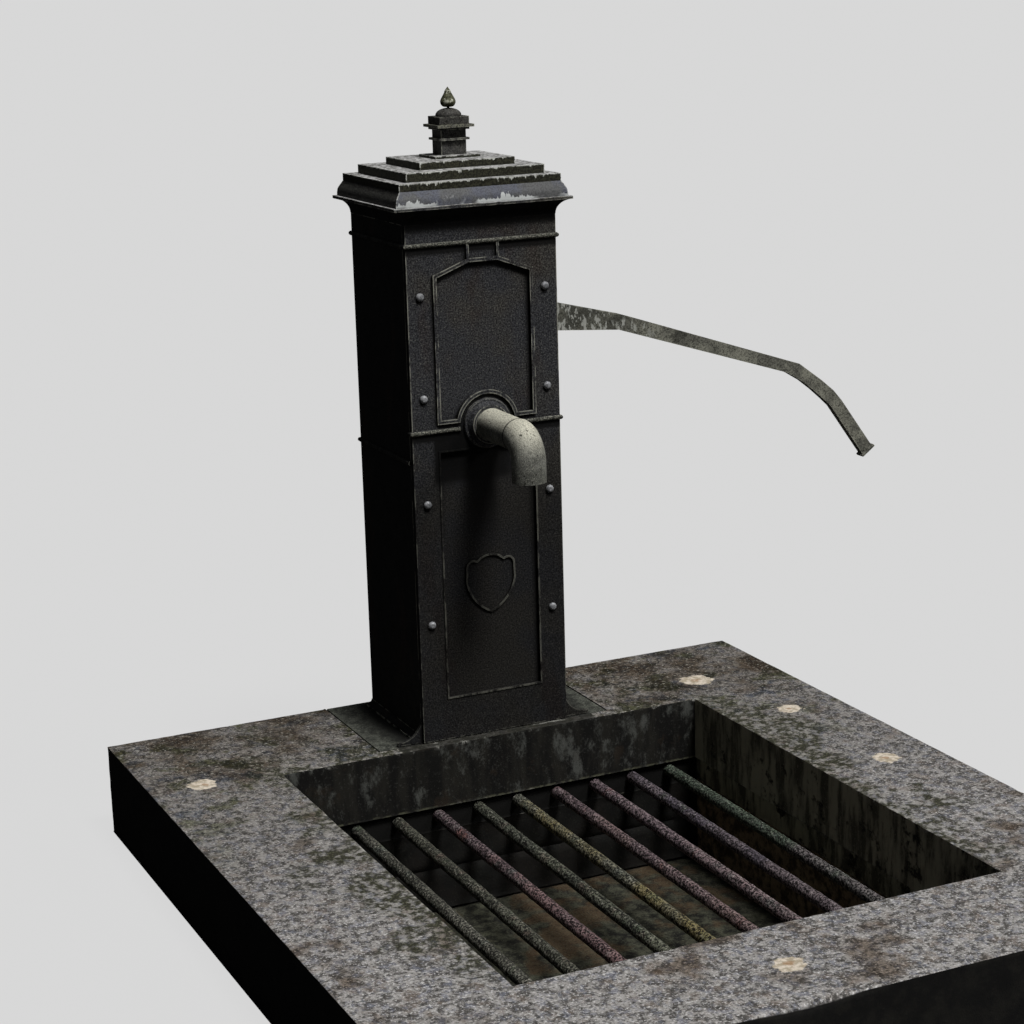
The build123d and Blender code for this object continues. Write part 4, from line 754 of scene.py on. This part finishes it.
def cap_slope(p, skin, grain):
    """Blue-grey slope with painted shade darkening its left, and white flakes along the front of its foot."""
    _, _, z = p.xyz()
    across, _, up = p.xyz(p.facing)
    slope = p.within(z, slope_low - 4.5 * MM, slope_low - 3.5 * MM, slope_high, slope_high + 0.5 * MM)
    slope = p.both(slope, p.within(up, -0.3, -0.1, 0.65, 0.75))
    tint = p.mix(p.patches(18, 3, 0.6, 0.4, 0.6), "636465", "61646f")
    tint = p.over(tint, "2a2b30", p.between(grain, 0.55, 0.42), 0.4)
    # painted shade: the slope is darker where it faces left
    tint = p.over(tint, p.mix(p.between(grain, 0.42, 0.6), "161615", "4c4c49"), p.between(across, -0.3, -0.7))
    skin = p.over(skin, tint, slope)
    flake_height = p.both(p.patches(75, 4, 0.6, 0.42, 0.72, at=p.stretch(1, 1, 0.3)), 14 * MM)
    above = p.minus(p.minus(z, slope_low), flake_height)
    flakes = p.both(p.between(above, 0.5 * MM, -0.5 * MM), p.patches(14, 3, 0.6, 0.4, 0.5))
    flakes = p.both(flakes, p.between(z, slope_low - 5.5 * MM, slope_low - 4.5 * MM))
    flakes = p.both(flakes, p.between(across, -0.7, -0.3))
    return slope, flakes, skin


def cap_details(p, skin, grain):
    """The slope, grey treads, dark risers, pale chips that hang from the steps' front edges, and painted
    shade in the cove.
    """
    _, _, z = p.xyz()
    _, along, up = p.xyz(p.facing)
    slope, flakes, skin = cap_slope(p, skin, grain)
    treads = p.mix(p.patches(110, 4, 0.7, 0.42, 0.6), "696966", "c2c2c4")
    skin = p.over(skin, treads, p.between(up, 0.85, 0.95))
    riser = p.both(p.between(p.size(up), 0.2, 0.1), p.between(z, slope_high - 1 * MM, slope_high))
    skin = p.over(skin, p.mix(p.patches(300, 3, 0.6, 0.42, 0.6), "1d1d17", "3a3a2e"), riser)
    skin = p.over(skin, "c8cccc", flakes, p.either(slope, p.between(p.size(up), 0.3, 0.1)))
    hang = p.both(p.patches(95, 4, 0.65, 0.46, 0.74, at=p.stretch(1, 1, 0.3)), 8 * MM)
    on_front = p.between(along, -0.4, -0.7)
    for step_top in step_tops:
        below = p.minus(step_top, z)
        hanging = p.both(p.between(p.minus(below, hang), 0.4 * MM, -0.4 * MM),
                         p.between(below, -0.5 * MM, -0.2 * MM))
        skin = p.over(skin, "c4c6c0", hanging, on_front)
    chips = p.both(p.edges(2.4 * MM), p.patches(80, 4, 0.7, 0.45, 0.53))
    skin = p.over(skin, "dcded8", chips, p.between(z, slope_low - 4 * MM, slope_low))
    # painted shade: the cove under the eave is black
    return p.over(skin, "060606", p.between(z, eave_top, eave_top - 2 * MM))


def finial_details(p, skin, _grain):
    """Grey weathered faces, and white lichen on the drop at the very top."""
    _, _, z = p.xyz()
    skin = p.over(skin, "4a4a48", p.patches(120, 4, 0.7, 0.42, 0.62), 0.6)
    ledge_low = pedestal_high.z - 35 * MM
    ledge = p.within(z, ledge_low, ledge_low + 1 * MM, ledge_low + 6 * MM, ledge_low + 8 * MM)
    skin = p.over(skin, "7d7d6e", ledge, p.patches(350, 2, 0.6, 0.45, 0.6))
    olive = p.mix(p.patches(200, 3, 0.7, 0.4, 0.6), "2c2d1e", "5c5d48")
    olive = p.over(olive, "b2b3a4", p.patches(75, 4, 0.7, 0.54, 0.62))
    return p.over(skin, olive, p.between(z, drop_low.z + 12 * MM, drop_low.z + 16 * MM))


def spout_paint():
    """Grey-green stone-like coat with a pale yellow painted highlight on top, fine dark pits, and painted
    shade in hollows.
    """
    p = Paint("spout_paint")
    _, _, up = p.xyz(p.facing)
    _, y, _ = p.xyz()
    coat = p.mix(p.patches(30, 4, 0.6, 0.4, 0.62), "5c5d58", "7c7d77")
    # painted highlight: the top of the spout is paler and yellower
    coat = p.over(coat, "dbd9c8", p.between(up, 0.1, 0.9), 0.75)
    fine = p.noise(470, 3, 0.7)
    coat = p.over(coat, "3a3a33", p.between(fine, 0.52, 0.4), 0.6)
    coat = p.over(coat, "d6d4c2", p.between(fine, 0.57, 0.68), 0.45)
    pits = p.patches(170, 3, 0.6, 0.37, 0.32, at=p.stretch(1, 1, 0.6))
    coat = p.over(coat, "23241d", pits, 0.85)
    from_joint = p.size(p.minus(y, spout_low.y))
    coat = p.over(coat, "12120f", p.between(from_joint, 4.2 * MM, 2.2 * MM), 0.95)
    # painted shade in the spout's hollows
    coat = p.over(coat, "161612", p.between(p.hollows(12 * MM), 0.4, 0.9))
    height = p.minus(p.plus(fine, p.noise(120, 3, 0.6)), p.both(pits, 1.5))
    return p.finish(coat, 0.78, height, depth=0.6 * MM, strength=0.7, specular=0.25)


def lever_paint():
    """Dark olive forging, its grey top coat flaked off in upright runs near the pillar."""
    p = Paint("lever_iron")
    x, _, _ = p.xyz()
    fine = p.noise(340, 3, 0.7)
    iron = p.mix(p.patches(22, 4, 0.6, 0.4, 0.62), "67675f", "8e8e82")
    iron = p.over(iron, "1f1f1b", p.between(fine, 0.52, 0.4), 0.75)
    iron = p.over(iron, "96968a", p.between(fine, 0.58, 0.7), 0.6)
    root, span = casing_high.x, lever_high.x - casing_high.x
    near_root = p.between(x, root + span * 0.42, root - span * 0.02, smooth=False)
    iron = p.over(iron, "2a2b25", p.between(x, root + span * 0.4, root + span * 0.12), 0.6)
    runs = p.noise(95, 4, 0.65, at=p.stretch(1, 1, 0.45))
    flaked = p.between(p.ramp(near_root, 0.09, runs), 0.585, 0.62)
    iron = p.over(iron, "a4a6a0", flaked, p.between(near_root, 0.05, 0.4))
    iron = p.over(iron, "1e1f19", p.patches(16, 4, 0.6, 0.56, 0.66, at=p.stretch(1, 1, 2)), 0.6)
    iron = p.over(iron, "a4a498", p.edges(2 * MM), p.patches(60, 3, 0.6, 0.44, 0.55), 0.7)
    height = p.plus(fine, p.noise(90, 3, 0.6))
    return p.finish(iron, 0.68, height, depth=0.5 * MM, strength=0.7, specular=0.35)


def plate_paint():
    """Base plate: dark grey-green iron under a dusting of stone grit, with painted shade near the pillar."""
    p = Paint("base_iron")
    iron = p.mix(p.patches(45, 4, 0.65, 0.4, 0.62), "363833", "5c5f57")
    fine = p.noise(300, 3, 0.7)
    iron = p.over(iron, "8f9288", p.between(fine, 0.55, 0.68), 0.7)
    iron = p.over(iron, "0e0f0c", p.between(fine, 0.48, 0.36), 0.7)
    iron = p.over(iron, "5c5e54", p.edges(2.5 * MM), 0.4)
    # painted shade: black near the pillar and in corners
    iron = p.over(iron, "050504", p.between(p.hollows(160 * MM, samples=16), 0.06, 0.42))
    return p.finish(iron, 0.8, fine, depth=0.6 * MM, strength=0.7, specular=0.3)


def screw_paint():
    """Light grey screw heads with a little rust and painted shade under them."""
    p = Paint("bolt_steel")
    fine = p.noise(500, 3, 0.7)
    steel = p.mix(p.patches(150, 3, 0.6, 0.42, 0.6), "74767a", "9a9ca0")
    steel = p.over(steel, "b5b6b8", p.between(fine, 0.58, 0.7), 0.6)
    steel = p.over(steel, "33302c", p.between(fine, 0.46, 0.36), 0.6)
    # painted shade in the hollows under the heads
    steel = p.over(steel, "0a0a0a", p.between(p.hollows(4 * MM), 0.45, 0.85))
    return p.finish(steel, 0.55, fine, depth=0.3 * MM, strength=0.5, metallic=0.25)


def metal_paint(name, base, other, roughness, metallic=1.0, scale=60.0, rust=0.0, along=(1, 1, 1)):
    """Working metal inside the pump: machined or cast, with grain and a little rust."""
    p = Paint(name)
    lines = p.noise(scale, 4, 0.6, at=p.stretch(*along))
    skin = p.mix(p.between(lines, 0.4, 0.62), base, other)
    spots = p.both(p.patches(85, 4, 0.7, 0.56, 0.66), rust)
    skin = p.over(skin, "5a2f18", spots)
    shine = p.both(metallic, p.minus(1.0, spots))
    rough = p.ramp(lines, 0.25, roughness)
    return p.finish(skin, rough, lines, depth=0.25 * MM, strength=0.5, metallic=shine)


def hide_paint():
    """Oiled leather of the piston cup."""
    p = Paint("cup_hide")
    pores = p.cells(900)
    hide = p.mix(p.patches(60, 4, 0.6, 0.4, 0.6), "3a2415", "5b3a22")
    hide = p.over(hide, "1e120a", p.between(pores, 0.25, 0.1))
    return p.finish(hide, 0.6, pores, depth=0.3 * MM, strength=0.6, sheen=0.1)


def fibre_paint():
    """Greased plaited packing."""
    p = Paint("packing_fibre")
    x, y, z = p.xyz()
    plaits_per_metre = 2400.0
    weave = p.calc("SINE", p.both(p.plus(z, p.plus(x, y)), plaits_per_metre))
    strand = p.mix(p.between(weave, -0.4, 0.6), "3b372a", "7d7459")
    strand = p.over(strand, "211f17", p.patches(300, 3, 0.6, 0.5, 0.65), 0.6)
    return p.finish(strand, 0.8, weave, depth=0.3 * MM, strength=0.5)


def rubber_paint():
    """Black gasket rubber with a dusty bloom."""
    p = Paint("gasket_rubber")
    skin = p.mix(p.patches(80, 4, 0.6, 0.4, 0.65), "0c0c0c", "242422")
    return p.finish(skin, 0.75, p.noise(700, 2, 0.6), depth=0.1 * MM, strength=0.4)


# ------------------------------------------------------------ putting the materials on
def put_on(material, *names):
    for name in names:
        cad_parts[name].material_slots[0].material = material


slab, open_low, open_high = replace_stone_slab()
slab.data.materials.append(granite_paint(open_low, open_high))
pit_walls = replace_pit_walls()
pit_walls.data.materials.append(masonry_paint("pit_masonry", "070706", "1c1b14", "2a1f16"))
pit_floor = replace_pit_floor()
pit_floor.data.materials.append(masonry_paint("pit_rubble", "10100d", "45463a", "4a3a28"))
replace_grate_bars()

put_on(cast_paint("casing_iron", light="121211", dark="101113", speck="262625"), "column_casing")
put_on(cast_paint("fitting_iron"), "slot_escutcheon", "spout_rosette")
put_on(cast_paint("cover_iron", cover_details), "front_cover")
put_on(cast_paint("cap_iron", cap_details), "cap")
put_on(cast_paint("finial_iron", finial_details), "finial_pedestal", "finial_drop")
put_on(spout_paint(), "spout_pipe", "spout_elbow")
put_on(lever_paint(), "lever", "lever_end_cap")
put_on(plate_paint(), "base_plate")
put_on(screw_paint(), "cover_screws", "bracket_bolts", "anchor_bolts", "flange_studs", "gland_studs",
       "head_bolts", "piston_nut", "tie_nut")
put_on(metal_paint("inner_iron", "1c1b1a", "33302c", 0.5, metallic=0.6, scale=90, rust=0.8),
       "barrel", "cap_bridge", "crosshead", "cup_follower", "fulcrum_bracket", "stuffing_box", "suction_pipe")
put_on(metal_paint("drain_iron", "231b16", "3d2a20", 0.6, metallic=0.3, scale=40, rust=0.9), "drain_pipe")
put_on(metal_paint("bright_steel", "8b8b8c", "a8a8a8", 0.25, scale=500, rust=0.15, along=(1, 1, 0.05)),
       "crosshead_pin", "crosshead_split_pins", "fulcrum_pin", "fulcrum_split_pins", "fulcrum_washers",
       "pump_rod", "tie_stud")
put_on(metal_paint("gunmetal", "7a5a2c", "96733c", 0.35, scale=250), "foot_valve", "foot_valve_seat",
       "gland", "lever_bush", "piston_body", "piston_valve", "valve_stop")
put_on(hide_paint(), "cup_leather")
put_on(fibre_paint(), "gland_packing")
put_on(rubber_paint(), "foot_gasket", "head_gasket")


# ------------------------------------------------------------ floor, light and camera
backdrop = colour("d8d8d8")
floor_glow = 0.968
floor_albedo = (0.02, 0.02, 0.02, 1)
fill_strength, fill_tint = 0.05, (0.95, 0.97, 1.0, 1)
lamp_tint, lamp_spread = (1.0, 0.985, 0.96), math.radians(12)
lens_mm, sensor_mm = 79.88, 36.0
camera_place = Vector((-1.688, -3.881, slab_top + 1.455))
camera_yaw, camera_pitch, camera_roll = [math.radians(turn) for turn in (24.81, 13.99, 1.63)]


def add_floor():
    """Pale floor at the slab's underside, open under the slab so that the pit sinks through it."""
    reach, inset, drop = 90.0, 20 * MM, 0.5 * MM
    xs = [-reach, slab_low.x + inset, slab_high.x - inset, reach]
    ys = [-reach, slab_low.y + inset, slab_high.y - inset, reach]
    mesh = bpy.data.meshes.new("floor")
    points = [(x, y, slab_low.z - drop) for y in ys for x in xs]
    faces = [(4 * j + i, 4 * j + i + 1, 4 * j + i + 5, 4 * j + i + 4)
             for j in range(3) for i in range(3) if (i, j) != (1, 1)]
    mesh.from_pydata(points, [], faces)
    floor = bpy.data.objects.new("floor", mesh)
    bpy.context.scene.collection.objects.link(floor)
    p = Paint("floor")
    glow = p.add("ShaderNodeEmission")
    glow.inputs["Color"].default_value = backdrop
    seen = p.add("ShaderNodeLightPath").outputs["Is Camera Ray"]
    p.put(glow.inputs["Strength"], p.both(seen, floor_glow))
    matt = p.add("ShaderNodeBsdfDiffuse")
    matt.inputs["Color"].default_value = floor_albedo
    sum_of_both = p.add("ShaderNodeAddShader")
    p.put(sum_of_both.inputs[0], glow.outputs[0])
    p.put(sum_of_both.inputs[1], matt.outputs[0])
    out = p.add("ShaderNodeOutputMaterial")
    p.put(out.inputs["Surface"], sum_of_both.outputs[0])
    mesh.materials.append(p.material)


def add_world():
    """Weak even fill for the object; the camera sees the same pale grey as the floor."""
    world = bpy.data.worlds.new("studio")
    bpy.context.scene.world = world
    world.use_nodes = True
    tree = world.node_tree
    tree.nodes.clear()
    fill = tree.nodes.new("ShaderNodeBackground")
    fill.inputs["Color"].default_value = fill_tint
    fill.inputs["Strength"].default_value = fill_strength
    seen = tree.nodes.new("ShaderNodeBackground")
    seen.inputs["Color"].default_value = backdrop
    path = tree.nodes.new("ShaderNodeLightPath")
    mix = tree.nodes.new("ShaderNodeMixShader")
    out = tree.nodes.new("ShaderNodeOutputWorld")
    tree.links.new(path.outputs["Is Camera Ray"], mix.inputs[0])
    tree.links.new(fill.outputs[0], mix.inputs[1])
    tree.links.new(seen.outputs[0], mix.inputs[2])
    tree.links.new(mix.outputs[0], out.inputs[0])


def add_lamp(name, strength, toward_light):
    """A distant soft lamp shining from the given direction."""
    data = bpy.data.lights.new(name, "SUN")
    data.energy = strength
    data.angle = lamp_spread
    data.color = lamp_tint
    lamp = bpy.data.objects.new(name, data)
    bpy.context.scene.collection.objects.link(lamp)
    lamp.rotation_mode = "QUATERNION"
    lamp.rotation_quaternion = Vector(toward_light).to_track_quat("Z", "Y")


def add_camera():
    """A long lens from the front left, a little above the pillar."""
    data = bpy.data.cameras.new("camera")
    data.sensor_width = sensor_mm
    data.lens = lens_mm
    data.clip_start, data.clip_end = 0.1, 400.0
    camera = bpy.data.objects.new("camera", data)
    bpy.context.scene.collection.objects.link(camera)
    level_ahead = Vector((math.sin(camera_yaw), math.cos(camera_yaw), 0))
    level_right = Vector((math.cos(camera_yaw), -math.sin(camera_yaw), 0))
    forward = math.cos(camera_pitch) * level_ahead + Vector((0, 0, -math.sin(camera_pitch)))
    level_down = forward.cross(level_right)
    right = math.cos(camera_roll) * level_right + math.sin(camera_roll) * level_down
    down = -math.sin(camera_roll) * level_right + math.cos(camera_roll) * level_down
    turned = Matrix((right, -down, -forward)).transposed().to_4x4()
    camera.matrix_world = Matrix.Translation(camera_place) @ turned
    bpy.context.scene.camera = camera


bpy.context.scene.view_settings.view_transform = "Standard"
add_floor()
add_world()
# a high lamp over the spout's side, and a weaker one from the lever's side
add_lamp("key", 3.1, (0.16, -0.52, 1.0))
add_lamp("side", 0.6, (0.85, -0.70, 0.85))
add_camera()
